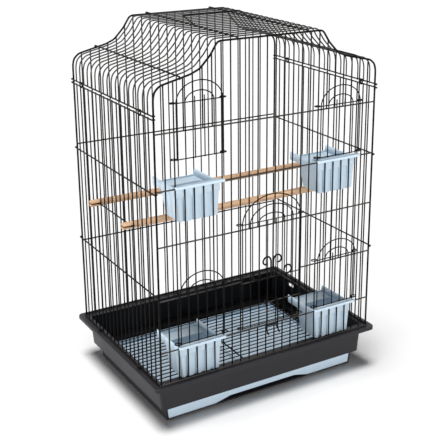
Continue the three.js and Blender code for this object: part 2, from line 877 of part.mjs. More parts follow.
// Floor grate: long wires on a wire frame and three cross wires, on the tub's ledge
const grateRadius = 1.4;
const grateGap = 4;
const grateHalfX = tubFootX - baseWall - grateGap;
const grateHalfY = tubFootY - baseWall - grateGap;
const gratePitch = 12;
const grateWires = Math.floor( grateHalfY / gratePitch );
const grateCrossInset = 27;
const grateCrossX = grateHalfX - grateCrossInset;
const grateZ = tubFoot + baseWall + clearance + grateRadius;

function floorGrate() {
	const up = [ 0, 0, 1 ];
	const parts = [];
	for ( const side of [ - 1, 1 ] ) {
		const y = side * grateHalfY;
		const x = side * grateHalfX;
		parts.push( wire( [ - grateHalfX - grateRadius, y, 0 ],
			[ grateHalfX + grateRadius, y, 0 ], grateRadius, up, barSides ) );
		parts.push( wire( [ x, - grateHalfY, 0 ], [ x, grateHalfY, 0 ], grateRadius, up, barSides ) );
	}
	for ( const x of [ - grateCrossX, 0, grateCrossX ] ) {
		parts.push( wire( [ x, - grateHalfY, 0 ], [ x, grateHalfY, 0 ], grateRadius, up, barSides ) );
	}
	const z = grateRadius + doorRadius - weldDepth;
	for ( let i = - grateWires; i <= grateWires; i ++ ) {
		const y = i * gratePitch;
		parts.push( wire( [ - grateHalfX, y, z ], [ grateHalfX, y, z ], doorRadius, up, barSides ) );
	}
	return fuse( parts );
}

// Tray: a shallow pan on two runners, with a front plate whose lower edge is cut away for
// the fingers
const trayProud = 0.4;
const trayFrontY = - boxFootY - trayProud;
const trayFrontFoot = 7.3;
const trayFrontTop = 29.5;
const trayFrontThickness = 3;
const trayPlay = 0.6;
const trayFloor = 15.6;
const trayTop = 28;
const trayWall = 2;
const runnerWidth = 3;
const trayGapX = 4.5;
const trayGapBack = 4;
const trayHalf = boxFootX - baseWall - trayGapX;
const trayBack = boxFootY - baseWall - trayGapBack;
const notchFootHalf = 99;
const notchTopHalf = 69;
const notchHeight = 7;

function slideTray() {
	const mouthFoot = footHeight + baseWall;
	const wallSlope = ( boxTopX - boxFootX ) / ( tubFoot - mouthFoot );
	const halfAt = ( z ) => boxFootX - baseWall + wallSlope * ( z - mouthFoot ) - trayPlay;
	const footHalf = halfAt( trayFrontFoot );
	const topHalf = halfAt( trayFrontTop );
	const front = new THREE.Shape( [
		new THREE.Vector2( - footHalf, trayFrontFoot ),
		new THREE.Vector2( - notchFootHalf, trayFrontFoot ),
		new THREE.Vector2( - notchTopHalf, trayFrontFoot + notchHeight ),
		new THREE.Vector2( notchTopHalf, trayFrontFoot + notchHeight ),
		new THREE.Vector2( notchFootHalf, trayFrontFoot ),
		new THREE.Vector2( footHalf, trayFrontFoot ),
		new THREE.Vector2( topHalf, trayFrontTop ),
		new THREE.Vector2( - topHalf, trayFrontTop ),
	] );
	const options = { depth: trayFrontThickness, bevelEnabled: false };
	const plate = new THREE.ExtrudeGeometry( front, options ).rotateX( Math.PI / 2 );
	plate.translate( 0, trayFrontY + trayFrontThickness, 0 );
	const panFront = trayFrontY + trayFrontThickness - clearance;
	const pan = box( [ - trayHalf, panFront, trayFloor ], [ trayHalf, trayBack, trayTop ] );
	const hollow = box(
		[ - trayHalf + trayWall, trayFrontY + trayFrontThickness, trayFloor + trayWall ],
		[ trayHalf - trayWall, trayBack - trayWall, trayTop + trayWall ],
	);
	let tray = solid( plate ).add( pan ).subtract( hollow );
	for ( const side of [ - 1, 1 ] ) {
		const middle = side * ( trayHalf - runnerWidth / 2 );
		tray = tray.add( box(
			[ middle - runnerWidth / 2, panFront, trayFrontFoot ],
			[ middle + runnerWidth / 2, trayBack, trayFloor + trayWall ],
		) );
	}
	return tray;
}

const cage = new THREE.Group();
cage.name = 'bird_cage';

function place( mesh, x, y, z, turn = 0 ) {
	mesh.position.set( x, y, z );
	mesh.rotation.z = turn;
	cage.add( mesh );
}

place( piece( 'front_panel', frontPanel(), wireMaterial() ), 0, - halfWidth, 0 );
place( piece( 'back_panel', backPanel(), wireMaterial() ), 0, halfWidth, 0, Math.PI );
place( piece( 'right_end_panel', endPanel(), wireMaterial() ), 0, 0, 0 );
place( piece( 'left_end_panel', endPanel(), wireMaterial() ), 0, 0, 0, Math.PI );
place( piece( 'roof_panel', roofPanel(), wireMaterial() ), 0, 0, 0 );

const bandY = - endBarY( bandGapCount ) - endPitch / 2;
const bandZ = ( roofFootRail + wallTopRail ) / 2;
for ( const [ side, sideX ] of [ [ 'left', - 1 ], [ 'right', 1 ] ] ) {
	for ( const [ depth, sideY ] of [ [ 'front', - 1 ], [ 'back', 1 ] ] ) {
		const band = piece( `rail_band_${ side }_${ depth }`, railBand(), wireMaterial() );
		place( band, sideX * endRailPlane, sideY * bandY, bandZ );
		const clip = piece( `rim_clip_${ side }_${ depth }`, rimClip(),
			plasticMaterial( basePlastic, 0.5 ) );
		place( clip, 0, sideY * windowY, 0, sideX < 0 ? Math.PI : 0 );
	}
}

const handle = piece( 'carry_handle', carryHandle(), wireMaterial() );
handle.rotation.x = THREE.MathUtils.degToRad( handleRest );
handle.position.set( 0, endBarY( handleWireCount ), archHeight( 0 ) + archOffset );
cage.add( handle );

// Each feeder doorway has its door and its cup. Only the upper left door is raised.
const feederX = barX( ( feederBars[ 0 ] + feederBars[ 1 ] ) / 2 );
const doorY = - halfWidth - doorPlane;
for ( const [ level, rail ] of [ [ 'upper', fourthRail ], [ 'lower', firstRail ] ] ) {
	for ( const [ side, sideX ] of [ [ 'left', 1 ], [ 'right', - 1 ] ] ) {
		const raised = level === 'upper' && side === 'left' ? feederRaised : 0;
		const door = piece( `feeder_door_${ level }_${ side }`, feederDoor(), wireMaterial() );
		place( door, sideX * feederX, doorY, rail + feederLift + raised );
		const cup = piece( `feeder_cup_${ level }_${ side }`, feederCup(),
			plasticMaterial( paleBlue, 0.35 ) );
		place( cup, sideX * feederX, - halfWidth, rail );
	}
}

place( piece( 'main_door', mainDoor(), wireMaterial() ), 0, doorY, firstRail + mainLift );
place( piece( 'main_door_latch', doorLatch(), wireMaterial() ),
	mainShift, doorY + doorStep, firstRail + mainLift + latchWireZ );

place( piece( 'perch_front', perch(), plasticMaterial( wood, 0.7 ) ), 0, perchY, perchZ );
place( piece( 'perch_back', perch(), plasticMaterial( wood, 0.7 ) ), 0, - perchY, perchZ );

place( piece( 'base_tub', baseTub(), plasticMaterial( basePlastic, 0.45 ) ), 0, 0, 0 );
place( piece( 'floor_grate', floorGrate(), wireMaterial() ), 0, 0, grateZ );
place( piece( 'slide_tray', slideTray(), plasticMaterial( paleBlue, 0.4 ) ), 0, 0, 0 );

// The latch's feet reach farther to the front than the rim does, so the cage is moved back
// until its box has its middle on the origin.
const reach = new THREE.Box3().setFromObject( cage, true );
cage.position.y = - ( reach.min.y + reach.max.y ) / 2;

export default cage;
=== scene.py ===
import json
import math

import bpy
import numpy as np
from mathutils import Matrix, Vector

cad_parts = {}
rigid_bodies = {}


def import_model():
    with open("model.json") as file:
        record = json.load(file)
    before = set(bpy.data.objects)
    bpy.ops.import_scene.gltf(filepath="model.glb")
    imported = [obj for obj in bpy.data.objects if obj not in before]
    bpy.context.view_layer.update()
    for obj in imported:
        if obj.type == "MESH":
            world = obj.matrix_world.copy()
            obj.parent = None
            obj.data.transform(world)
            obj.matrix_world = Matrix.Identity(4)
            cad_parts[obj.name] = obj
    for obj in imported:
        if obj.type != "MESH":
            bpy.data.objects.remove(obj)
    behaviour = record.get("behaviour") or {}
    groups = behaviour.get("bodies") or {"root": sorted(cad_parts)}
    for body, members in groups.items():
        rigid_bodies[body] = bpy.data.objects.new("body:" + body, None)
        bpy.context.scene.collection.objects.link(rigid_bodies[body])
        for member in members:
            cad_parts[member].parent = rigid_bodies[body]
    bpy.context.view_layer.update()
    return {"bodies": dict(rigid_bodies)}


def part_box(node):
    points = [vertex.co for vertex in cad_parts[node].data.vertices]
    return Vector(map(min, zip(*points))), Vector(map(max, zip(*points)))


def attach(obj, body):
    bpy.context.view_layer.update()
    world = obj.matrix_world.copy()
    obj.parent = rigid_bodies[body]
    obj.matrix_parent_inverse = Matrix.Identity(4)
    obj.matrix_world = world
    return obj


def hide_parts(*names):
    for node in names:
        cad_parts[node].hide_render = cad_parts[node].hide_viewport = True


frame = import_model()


# Base tub: an injection-moulded tub of black plastic with a wide flat rim that the wire
# body stands on. A lower sleeve under it, open to the front, holds the tray, and four
# small feet stand on the floor.

# Sizes are in millimetres, counted from the cage's own middle line as in the CAD. The base
# is the same to the front and the back, so its middle gives the place of that line.
MM = 0.001
base_low, base_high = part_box("base_tub")
MIDDLE = np.array([0, (base_low.y + base_high.y) / 2 / MM, 0])

RIM_TOP = 87.0
RIM_HALF = (229.0, 171.0)
RIM_SKIRT = 7.0
RIM_THICKNESS = 3.0
RIM_EDGE = 2.5
TUB_TOP = (214.0, 151.0)
TUB_FOOT = (209.0, 150.0)
TUB_FOOT_Z = 32.0
TUB_WALL = 3.0
TUB_CORNER = 8.0
RIM_CORNER = 9.0
LEDGE = 13.0
HOLE_CORNER = 2.0
SLEEVE_TOP = (199.0, 139.5)
SLEEVE_FOOT = (195.5, 138.0)
SLEEVE_FOOT_Z = 4.0
SLEEVE_CORNER = 5.0
PLATE_CORNER = 3.0
PLATE_INSET = 0.2
WINDOW_Y = (73.0, 95.0)
WINDOW_Z = (73.0, 82.0)
FEET_AT = (180.0, 122.0)
FEET_HALF = (10.0, 7.0)
FEET_CORNER = 2.0
JOIN = 1.0
EDGE_STEPS = 3
EDGE_ANGLE = 32.0
BLACK_OUTSIDE = (0.0105, 0.0098, 0.0132, 1)
# The inside's deeper black is painted shade: the inside sees little of the room.
BLACK_INSIDE_PAINTED_SHADE = (0.0042, 0.0044, 0.0058, 1)


class Socket:
    """A node's output that can stand in a sum: each operator adds one Math node."""

    def __init__(self, tree, link):
        self.tree = tree
        self.link = link

    def _join(self, operation, first, second):
        return self.tree.node("Math", {"operation": operation}, {0: first, 1: second})

    def __add__(self, other):
        return self._join("ADD", self, other)

    __radd__ = __add__

    def __sub__(self, other):
        return self._join("SUBTRACT", self, other)

    def __rsub__(self, other):
        return self._join("SUBTRACT", other, self)

    def __mul__(self, other):
        return self._join("MULTIPLY", self, other)

    __rmul__ = __mul__

    def __pow__(self, other):
        return self._join("POWER", self, other)


class Tree:
    """The nodes of a material or of the room around the object."""

    def __init__(self, owner):
        owner.use_nodes = True
        self.nodes = owner.node_tree.nodes
        self.links = owner.node_tree.links

    def node(self, kind, settings=None, inputs=None, output=0):
        """Adds one node: its settings first, then the values or links of its sockets."""
        made = self.nodes.new("ShaderNode" + kind)
        for name, value in (settings or {}).items():
            if name == "stops":
                for i, (place, colour) in enumerate(value):
                    stops = made.color_ramp.elements
                    stop = stops[i] if i < 2 else stops.new(place)
                    stop.position = place
                    stop.color = colour
            else:
                setattr(made, name, value)
        for socket, value in (inputs or {}).items():
            self.feed(made.inputs[socket], value)
        return Socket(self, made.outputs[output])

    def feed(self, socket, value):
        if isinstance(value, Socket):
            self.links.new(value.link, socket)
        else:
            socket.default_value = value


class Finish(Tree):
    """A material. Values that are the same all over stand on the shader's own sockets."""

    def __init__(self, name, **values):
        self.material = bpy.data.materials.new(name)
        super().__init__(self.material)
        self.shader = self.nodes["Principled BSDF"]
        for socket, value in values.items():
            self.shader.inputs[socket.replace("_", " ")].default_value = value

    def place(self, stretch=(1, 1, 1)):
        """Object coordinates in metres, stretched along each axis."""
        where = self.node("TexCoord", output="Object")
        return self.node("Mapping", {}, {"Vector": where, "Scale": stretch})

    def noise(self, scale, detail=2.0, stretch=(1, 1, 1)):
        inputs = {"Vector": self.place(stretch), "Scale": scale, "Detail": detail}
        return self.node("TexNoise", {}, inputs)

    def ramp(self, value, *stops):
        return self.node("ValToRGB", {"stops": stops}, {0: value})

    def blend(self, share, first, second):
        """A colour between two colours."""
        settings = {"data_type": "RGBA"}
        return self.node("Mix", settings, {0: share, 6: first, 7: second}, output=2)

    def bump(self, height, strength, distance):
        inputs = {"Height": height, "Strength": strength, "Distance": distance}
        self.feed(self.shader.inputs["Normal"], self.node("Bump", {}, inputs))

    def colour(self, value):
        self.feed(self.shader.inputs["Base Color"], value)

    def roughness(self, value):
        self.feed(self.shader.inputs["Roughness"], value)


def put_in_scene(name, data):
    """An object for a mesh, a lamp or a camera."""
    made = bpy.data.objects.new(name, data)
    bpy.context.scene.collection.objects.link(made)
    return made


class Shell:
    """Grids of points, in millimetres, gathered into one mesh. A face takes the first or
    the second finish of the piece by its mark, 0 or 1."""

    def __init__(self):
        self.points = []
        self.faces = []
        self.marks = []
        self.mark = 0
        self.count = 0

    def grid(self, rows, closed=True, keep=None):
        """Rows of points, each a closed ring. A face joins points (i, j), (i, j + 1),
        (i + 1, j + 1) and (i + 1, j), so it points outward where the rings run against
        the clock and the rows run up. A closed grid joins the last row to the first; an
        open one gets a flat face over its first and its last ring."""
        rows = np.asarray(rows, float)
        m, n = rows.shape[:2]
        steps = m if closed else m - 1
        i, j = np.meshgrid(np.arange(steps), np.arange(n), indexing="ij")
        above, beside = (i + 1) % m, (j + 1) % n
        corners = (i * n + j, i * n + beside, above * n + beside, above * n + j)
        quads = np.stack(corners, axis=-1)
        if keep is not None:
            quads = quads[keep]
        faces = (quads.reshape(-1, 4) + self.count).tolist()
        if not closed:
            first, last = np.arange(n)[::-1], (m - 1) * n + np.arange(n)
            faces += [(first + self.count).tolist(), (last + self.count).tolist()]
        self.points.append(rows.reshape(-1, 3))
        self.faces += faces
        self.marks += [self.mark] * len(faces)
        self.count += m * n
        return self

    def moved(self, offset=(0, 0, 0), turn=0.0, tilt=0.0):
        """The same shell tilted round X, then turned round Z, then moved."""
        c, s = math.cos(tilt), math.sin(tilt)
        tilted = np.array([[1, 0, 0], [0, c, -s], [0, s, c]])
        c, s = math.cos(turn), math.sin(turn)
        turned = np.array([[c, -s, 0], [s, c, 0], [0, 0, 1]])
        copy = Shell()
        copy.points = [p @ (turned @ tilted).T + np.asarray(offset) for p in self.points]
        copy.faces = [list(face) for face in self.faces]
        copy.marks = list(self.marks)
        copy.count = self.count
        return copy

    def piece(self, name, finish, body, slot, *nodes, second=None, bevel=0.0, crease=35.0):
        """Makes the mesh, in metres, gives it its finish and lets it ride on its body."""
        points = (np.concatenate(self.points) + MIDDLE) * MM
        mesh = bpy.data.meshes.new(name)
        mesh.from_pydata(points.tolist(), [], self.faces)
        mesh.materials.append(finish.material)
        if second:
            mesh.materials.append(second.material)
            mesh.polygons.foreach_set("material_index", self.marks)
        mesh.shade_smooth()
        mesh.set_sharp_from_angle(angle=math.radians(crease))
        made = put_in_scene(name, mesh)
        if bevel:
            rounding = made.modifiers.new("rounding", "BEVEL")
            rounding.width = bevel * MM
            rounding.segments = EDGE_STEPS
            rounding.limit_method = "ANGLE"
            rounding.angle_limit = math.radians(EDGE_ANGLE)
            rounding.harden_normals = True
        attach(made, body)
        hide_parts(*nodes)
        return made


def ring(half, low, high, corner, z, across=(), along=(), turns=5):
    """Points round a rectangle with round corners, against the clock from above: x runs
    to +-half and y from low to high, each corner is a quarter circle, and extra points
    stand at y = across on the two ends and at x = along on the two long sides."""
    across, along = np.asarray(across, float), np.asarray(along, float)
    arc = np.linspace(0, np.pi / 2, turns + 1)[1:-1]
    up = np.concatenate([[low + corner], across, [high - corner]])
    over = np.concatenate([[-half + corner], along, [half - corner]])
    flat = [np.stack([np.full(up.shape, half), up])]
    centres = [(1, 1), (-1, 1), (-1, -1), (1, -1)]
    sides = [
        np.stack([over[::-1], np.full(over.shape, high)]),
        np.stack([np.full(up.shape, -half), up[::-1]]),
        np.stack([over, np.full(over.shape, low)]),
    ]
    for quarter, (to_x, to_y) in enumerate(centres):
        angle = arc + quarter * np.pi / 2
        x = to_x * (half - corner) + corner * np.cos(angle)
        y = (high - corner if to_y > 0 else low + corner) + corner * np.sin(angle)
        flat.append(np.stack([x, y]))
        if quarter < 3:
            flat.append(sides[quarter])
    x, y = np.concatenate(flat, axis=1)
    return np.stack([x, y, np.full(x.shape, float(z))], axis=-1)


def slab(shell, low, high, corner):
    """A block with round upright corners between two corners of its box."""
    middle = np.array([(low[0] + high[0]) / 2, 0, 0])
    half = (high[0] - low[0]) / 2
    rows = [
        ring(half, low[1], high[1], corner, z, turns=3) + middle
        for z in (low[2], high[2])
    ]
    return shell.grid(rows, closed=False)


def between(first, second, share):
    """The first size plus a share of the step to the second."""
    return tuple(a + (b - a) * share for a, b in zip(first, second))


def tub_shell():
    """The cross-section runs from the hole in the floor out under the ledge, up the wall,
    round the rim and its skirt, and down the inside. Each corner of the section is a ring.
    Faces at the four windows in the end walls are left out, and short walls close them.
    The inside takes the second finish, a deeper black that is painted shade."""
    shell = Shell()
    marks = [-WINDOW_Y[1], -WINDOW_Y[0], WINDOW_Y[0], WINDOW_Y[1]]
    rim_low = RIM_TOP - RIM_SKIRT
    rim_plate = RIM_TOP - RIM_THICKNESS
    wall_top = rim_plate + RIM_THICKNESS / 2
    hollow_foot = TUB_FOOT_Z + TUB_WALL

    def outer(z):
        share = (z - TUB_FOOT_Z) / (wall_top - TUB_FOOT_Z)
        return (*between(TUB_FOOT, TUB_TOP, share), TUB_CORNER, z)

    def inner(z):
        share = (z - hollow_foot) / (RIM_TOP + TUB_WALL - hollow_foot)
        x, y = between(TUB_FOOT, TUB_TOP, share)
        return (x - TUB_WALL, y - TUB_WALL, TUB_CORNER - TUB_WALL, z)

    hole = (TUB_FOOT[0] - TUB_WALL - LEDGE, TUB_FOOT[1] - TUB_WALL - LEDGE, HOLE_CORNER)
    edge = (RIM_HALF[0] - RIM_EDGE, RIM_HALF[1] - RIM_EDGE, RIM_CORNER - RIM_EDGE)
    section = [
        (*hole, TUB_FOOT_Z), outer(TUB_FOOT_Z), outer(WINDOW_Z[0]), outer(WINDOW_Z[1]),
        outer(rim_plate), (*edge, rim_plate), (*edge, rim_low),
        (*RIM_HALF, RIM_CORNER, rim_low), (*RIM_HALF, RIM_CORNER, RIM_TOP), inner(RIM_TOP),
        inner(WINDOW_Z[1]), inner(WINDOW_Z[0]), inner(hollow_foot), (*hole, hollow_foot),
    ]
    low_outside, rim_inside, high_inside = 2, 9, 10
    rows = np.array([ring(x, -y, y, c, z, across=marks) for x, y, c, z in section])
    count = rows.shape[1]

    # A ring starts on the right end wall, where its second and fourth points begin the two
    # windows. The left end wall's points stand further round, in the same order.
    left = np.flatnonzero(np.isclose(rows[0, :, 0], -hole[0]))
    starts = [1, 3, left[1], left[3]]
    keep = np.ones(rows.shape[:2], bool)
    keep[np.ix_([low_outside, high_inside], starts)] = False
    shell.grid(rows, keep=keep)
    ring_of_face = np.repeat(np.arange(len(section)), count)[keep.ravel()]
    # From the rim's inner edge down, the faces take the darker finish, painted shade.
    shell.marks = (ring_of_face >= rim_inside).astype(int).tolist()
    walls = []
    for start in starts:
        a, d, h, e = [
            int(level * count + start)
            for level in (low_outside, low_outside + 1, high_inside, high_inside + 1)
        ]
        b, c, g, f = a + 1, d + 1, h + 1, e + 1
        walls += [[b, a, e, f], [c, b, f, g], [d, c, g, h], [a, d, h, e]]
    # The short walls in the windows also take the painted shade finish.
    shell.faces += walls
    shell.marks += [1] * len(walls)
    return shell


def sleeve_shell():
    """Three leaning walls in one U: a section of four corners, up the outside and down the
    inside, carried round the U. Then the floor plate and the four feet."""
    shell = Shell()
    top = TUB_FOOT_Z + JOIN
    turn = np.linspace(0, np.pi / 2, 6)[::-1]

    def u_line(size, inset, z):
        x, y, corner = size[0] - inset, size[1] - inset, SLEEVE_CORNER - inset
        back = np.stack([x - corner + corner * np.cos(turn), y - corner + corner * np.sin(turn)])
        half = np.concatenate([back.T, [[x, -size[1]]]])[::-1]
        line = np.concatenate([half, (half * [-1, 1])[::-1]])
        return np.concatenate([line, np.full((len(line), 1), z)], axis=1)

    rows = np.array([
        u_line(SLEEVE_FOOT, 0, SLEEVE_FOOT_Z), u_line(SLEEVE_TOP, 0, top),
        u_line(SLEEVE_TOP, TUB_WALL, top), u_line(SLEEVE_FOOT, TUB_WALL, SLEEVE_FOOT_Z),
    ])
    along = np.swapaxes(rows, 0, 1)
    shell.grid(along[:, ::-1], closed=False)
    half, depth = SLEEVE_FOOT
    plate = [
        ring(half - PLATE_INSET, -depth, depth - PLATE_INSET, PLATE_CORNER, z)
        for z in (SLEEVE_FOOT_Z, SLEEVE_FOOT_Z + TUB_WALL)
    ]
    shell.grid(plate, closed=False)
    for x in (-FEET_AT[0], FEET_AT[0]):
        for y in (-FEET_AT[1], FEET_AT[1]):
            low = (x - FEET_HALF[0], y - FEET_HALF[1], 0)
            high = (x + FEET_HALF[0], y + FEET_HALF[1], SLEEVE_FOOT_Z + JOIN)
            slab(shell, low, high, FEET_CORNER)
    return shell


def etched_black():
    """Black moulded plastic as the etched side of the mould leaves it: a fine grain, an
    uneven sheen and a tone a little lighter than the smooth side, whose deeper black is
    painted shade."""
    finish = Finish("etched_black_plastic", Specular_IOR_Level=0.28)
    patches = finish.noise(scale=22.0, detail=3.0)
    grain = finish.noise(scale=1500.0)
    tone = finish.blend(patches, (0.008, 0.0074, 0.0104, 1), (0.013, 0.0121, 0.0158, 1))
    finish.colour(finish.blend(grain * 0.5, tone, BLACK_OUTSIDE))
    finish.roughness(0.36 + 0.10 * patches + 0.08 * grain)
    finish.bump(grain, strength=0.25, distance=0.00012)
    return finish


def smooth_black_painted_shade():
    """The polished side of the same plastic, with faint wipe marks. Its deeper black is
    painted shade, for the tub's inside.
    """
    finish = Finish("smooth_black_plastic_painted_shade", Specular_IOR_Level=0.14)
    wipes = finish.noise(scale=30.0, detail=3.0, stretch=(1, 4, 1))
    grain = finish.noise(scale=700.0)
    # These tones are darker than the outside's, as painted shade.
    tone = finish.blend(wipes, (0.0026, 0.0028, 0.0038, 1), (0.0062, 0.0064, 0.0082, 1))
    finish.colour(finish.blend(grain * 0.4, tone, BLACK_INSIDE_PAINTED_SHADE))
    finish.roughness(0.22 + 0.14 * wipes + 0.04 * grain)
    finish.bump(grain, strength=0.10, distance=0.0001)
    return finish


black_plastic = etched_black()
smooth_shaded_black = smooth_black_painted_shade()
# The tub's inside takes the darker black, painted shade.
tub_shell().piece("base_upper", black_plastic, "cage", "black_plastic", "base_tub",
    second=smooth_shaded_black, bevel=0.8)
sleeve_shell().piece("base_sleeve", black_plastic, "cage", "black_plastic", "base_tub",
    bevel=0.6)


# Rim clips: small black plastic hooks on the rim, two at each end, that hold the end
# panels' foot rails down. Each is an L-shaped section with rounded edges.

CLIP_HALF = 5.5
CLIP_Y = 84.0
CLIP_ACROSS = (215.9, 219.9, 221.9)
CLIP_UP = (87.3, 90.2, 92.2)


def clip_shell():
    """An L-shaped section in X and Z, carried along Y: the corners of the L, twice."""
    tip, inside, outside = CLIP_ACROSS
    foot, under, top = CLIP_UP
    outline = np.array([
        [inside, foot], [outside, foot], [outside, top], [tip, top], [tip, under],
        [inside, under],
    ])
    rows = [np.insert(outline, 1, y, axis=1) for y in (CLIP_HALF, -CLIP_HALF)]
    return Shell().grid(rows, closed=False)


for side, turn in (("left", math.pi), ("right", 0.0)):
    for depth, y in (("front", -CLIP_Y), ("back", CLIP_Y)):
        name = f"rim_clip_{side}_{depth}"
        clip = clip_shell().moved((0, y, 0), turn)
        clip.piece(name + "_hook", smooth_shaded_black, "cage", "black_plastic", name, bevel=0.4)


# Slide tray: a shallow pan of pale blue plastic with a front plate. The lower edge of the
# plate is cut away in the middle for the fingers. It slides in the base's sleeve.

TRAY_FRONT = -138.4
TRAY_FOOT = 7.3
TRAY_TOP = 29.5
TRAY_PLATE = 3.0
TRAY_LIFT = 0.3
TRAY_PLAY = 0.6
PAN_HALF = 188.0
PAN_BACK = 131.0
PAN_FLOOR = 15.6
PAN_TOP = 28.0
PAN_WALL = 2.0
PAN_CORNER = 2.0
PAN_JOIN = 0.3
RUNNER_HALF = 1.5
RUNNER_CORNER = 0.5
RUNNER_JOIN = 0.5
# The notch: where its slope ends and begins along X, and how far the foot line rises.
NOTCH = (69.0, 99.0, 7.0)


def glossy_blue():
    """Pale blue moulded plastic: an even colour, faint flow marks and a soft gloss."""
    finish = Finish("pale_blue_plastic", Specular_IOR_Level=0.5)
    flow = finish.noise(scale=14.0, detail=3.0, stretch=(1, 1, 2.2))
    skin = finish.noise(scale=420.0)
    finish.colour(finish.blend(flow, (0.535, 0.672, 0.790, 1), (0.585, 0.708, 0.812, 1)))
    finish.roughness(0.26 + 0.12 * flow + 0.06 * skin)
    finish.bump(skin, strength=0.12, distance=0.0001)
    return finish


blue_plastic = glossy_blue()


def tray_shell():
    """The plate is one outline in X and Z, carried through its thickness: straight sides
    and top, and a foot line that rises over the notch. The pan is a section that runs from
    its floor up the outside, over the edge and down the inside, on closed rings. Two
    runners stand under its sides."""
    shell = Shell()
    lean = (SLEEVE_TOP[0] - SLEEVE_FOOT[0]) / (TUB_FOOT_Z - TRAY_FOOT + TRAY_LIFT)
    foot_half = SLEEVE_FOOT[0] - TUB_WALL - TRAY_PLAY + lean * TRAY_LIFT
    top_half = foot_half + lean * (TRAY_TOP - TRAY_FOOT)
    inner, outer, rise = NOTCH
    right = [
        (inner, TRAY_FOOT + rise), (outer, TRAY_FOOT), (foot_half, TRAY_FOOT),
        (top_half, TRAY_TOP),
    ]
    outline = np.array(right + [(-x, z) for x, z in right[::-1]])
    rows = [np.insert(outline, 1, y, axis=1) for y in (TRAY_FRONT + TRAY_PLATE, TRAY_FRONT)]
    shell.grid(rows, closed=False)
    front = TRAY_FRONT + TRAY_PLATE - PAN_JOIN
    wall = [(0, PAN_FLOOR), (0, PAN_TOP), (PAN_WALL, PAN_TOP), (PAN_WALL, PAN_FLOOR + PAN_WALL)]
    pan = [ring(PAN_HALF - i, front + i, PAN_BACK - i, PAN_CORNER, z) for i, z in wall]
    shell.grid(pan, closed=False)
    for x in (-PAN_HALF + RUNNER_HALF, PAN_HALF - RUNNER_HALF):
        low = (x - RUNNER_HALF, front, TRAY_FOOT)
        high = (x + RUNNER_HALF, PAN_BACK, PAN_FLOOR + RUNNER_JOIN)
        slab(shell, low, high, RUNNER_CORNER)
    return shell


tray_shell().piece("slide_tray_pan", blue_plastic, "slide_tray", "pale_blue_plastic",
    "slide_tray", bevel=0.6)


# Front panel: steel wire, welded and coated in gloss black. A heavy wire makes the corner
# posts and the arched top edge, 24 thin bars stand in it, and rails cross them outside.
# The rails take a lighter coat, painted highlight from above. Rails and bars leave five
# doorways open.

BAR = 1.2
RAIL = 1.3
FRAME_WIRE = 1.7
FRAME_BEND = 9.0
WIRE_TIP = 0.08
WIRE_CREASE = 60.0
PITCH = 17.2
GAPS = 25
HALF_LENGTH = 215.0
HALF_WIDTH = 159.6
END_PITCH = 16.8
END_GAPS = 19
RAIL_STEP = 2.1
PANEL_FOOT = 87.3
FOOT_RAIL = 88.6
RAILS = (147.0, 240.5, 334.0, 427.5, 521.0)
TUCK = 1.3
TOP_TUCK = 0.4
# The bars at the two sides of each doorway, counted from the left post.
FEEDER_BARS = ((2, 7), (18, 23))
MAIN_BARS = (9, 16)
# The right half of the arch, from the post up: x and z of its bends.
ARCH = np.array([
    [215.0, 576.5], [212.3, 587.5], [203.0, 595.8], [150.0, 608.1], [133.0, 615.2],
    [114.0, 634.8], [102.0, 653.3], [97.5, 655.5],
])


def wire_coat(name, deep, worn, gloss):
    """Wire in a thick black coat. The coat pulls thin here and there, where its tone is a
    little browner, and its skin has a fine orange peel."""
    finish = Finish(name, Specular_IOR_Level=gloss)
    thin = finish.noise(scale=38.0, detail=3.0)
    peel = finish.noise(scale=900.0)
    finish.colour(finish.ramp(thin, (0.35, (*deep, 1)), (0.75, (*worn, 1))))
    finish.roughness(0.26 + 0.16 * thin + 0.08 * peel)
    finish.bump(peel, strength=0.18, distance=0.00008)
    return finish


black_coat = wire_coat("black_coat", deep=(0.0022, 0.0021, 0.0022),
    worn=(0.0085, 0.007, 0.0058), gloss=0.06)
# The rails' coat: its lighter, browner tones are painted highlight from above.
highlit_rail_coat = wire_coat("painted_highlight_black_coat", deep=(0.012, 0.0102, 0.009),
    worn=(0.034, 0.028, 0.023), gloss=0.3)


def eased(corners, bend, step=1.5):
    """The line of a bent wire. The line through the corners is read at equal steps, and
    each point is the mean of that line over the length `bend` around it, so a corner
    becomes an arc. Past its ends the line runs straight on, so the ends stay in place.
    Points on straight stretches are dropped."""
    corners = np.asarray(corners, float)
    sides = np.diff(corners, axis=0)
    lengths = np.linalg.norm(sides, axis=1)
    reach = np.concatenate([[0], np.cumsum(lengths)])
    at = np.linspace(0, reach[-1], max(int(reach[-1] / step), 2) + 1)
    near = at[:, None] + np.linspace(-bend / 2, bend / 2, 9)
    held = np.clip(near, 0, reach[-1])
    line = np.stack([np.interp(held, reach, corners[:, k]) for k in range(3)], axis=-1)
    line += np.minimum(near, 0)[..., None] * sides[0] / lengths[0]
    line += np.maximum(near - reach[-1], 0)[..., None] * sides[-1] / lengths[-1]
    line = line.mean(axis=1)
    turning = np.linalg.norm(np.diff(line, 2, axis=0), axis=1) > 1e-4
    keep = np.ones(len(line), bool)
    keep[1:-1] = turning
    return line[keep]


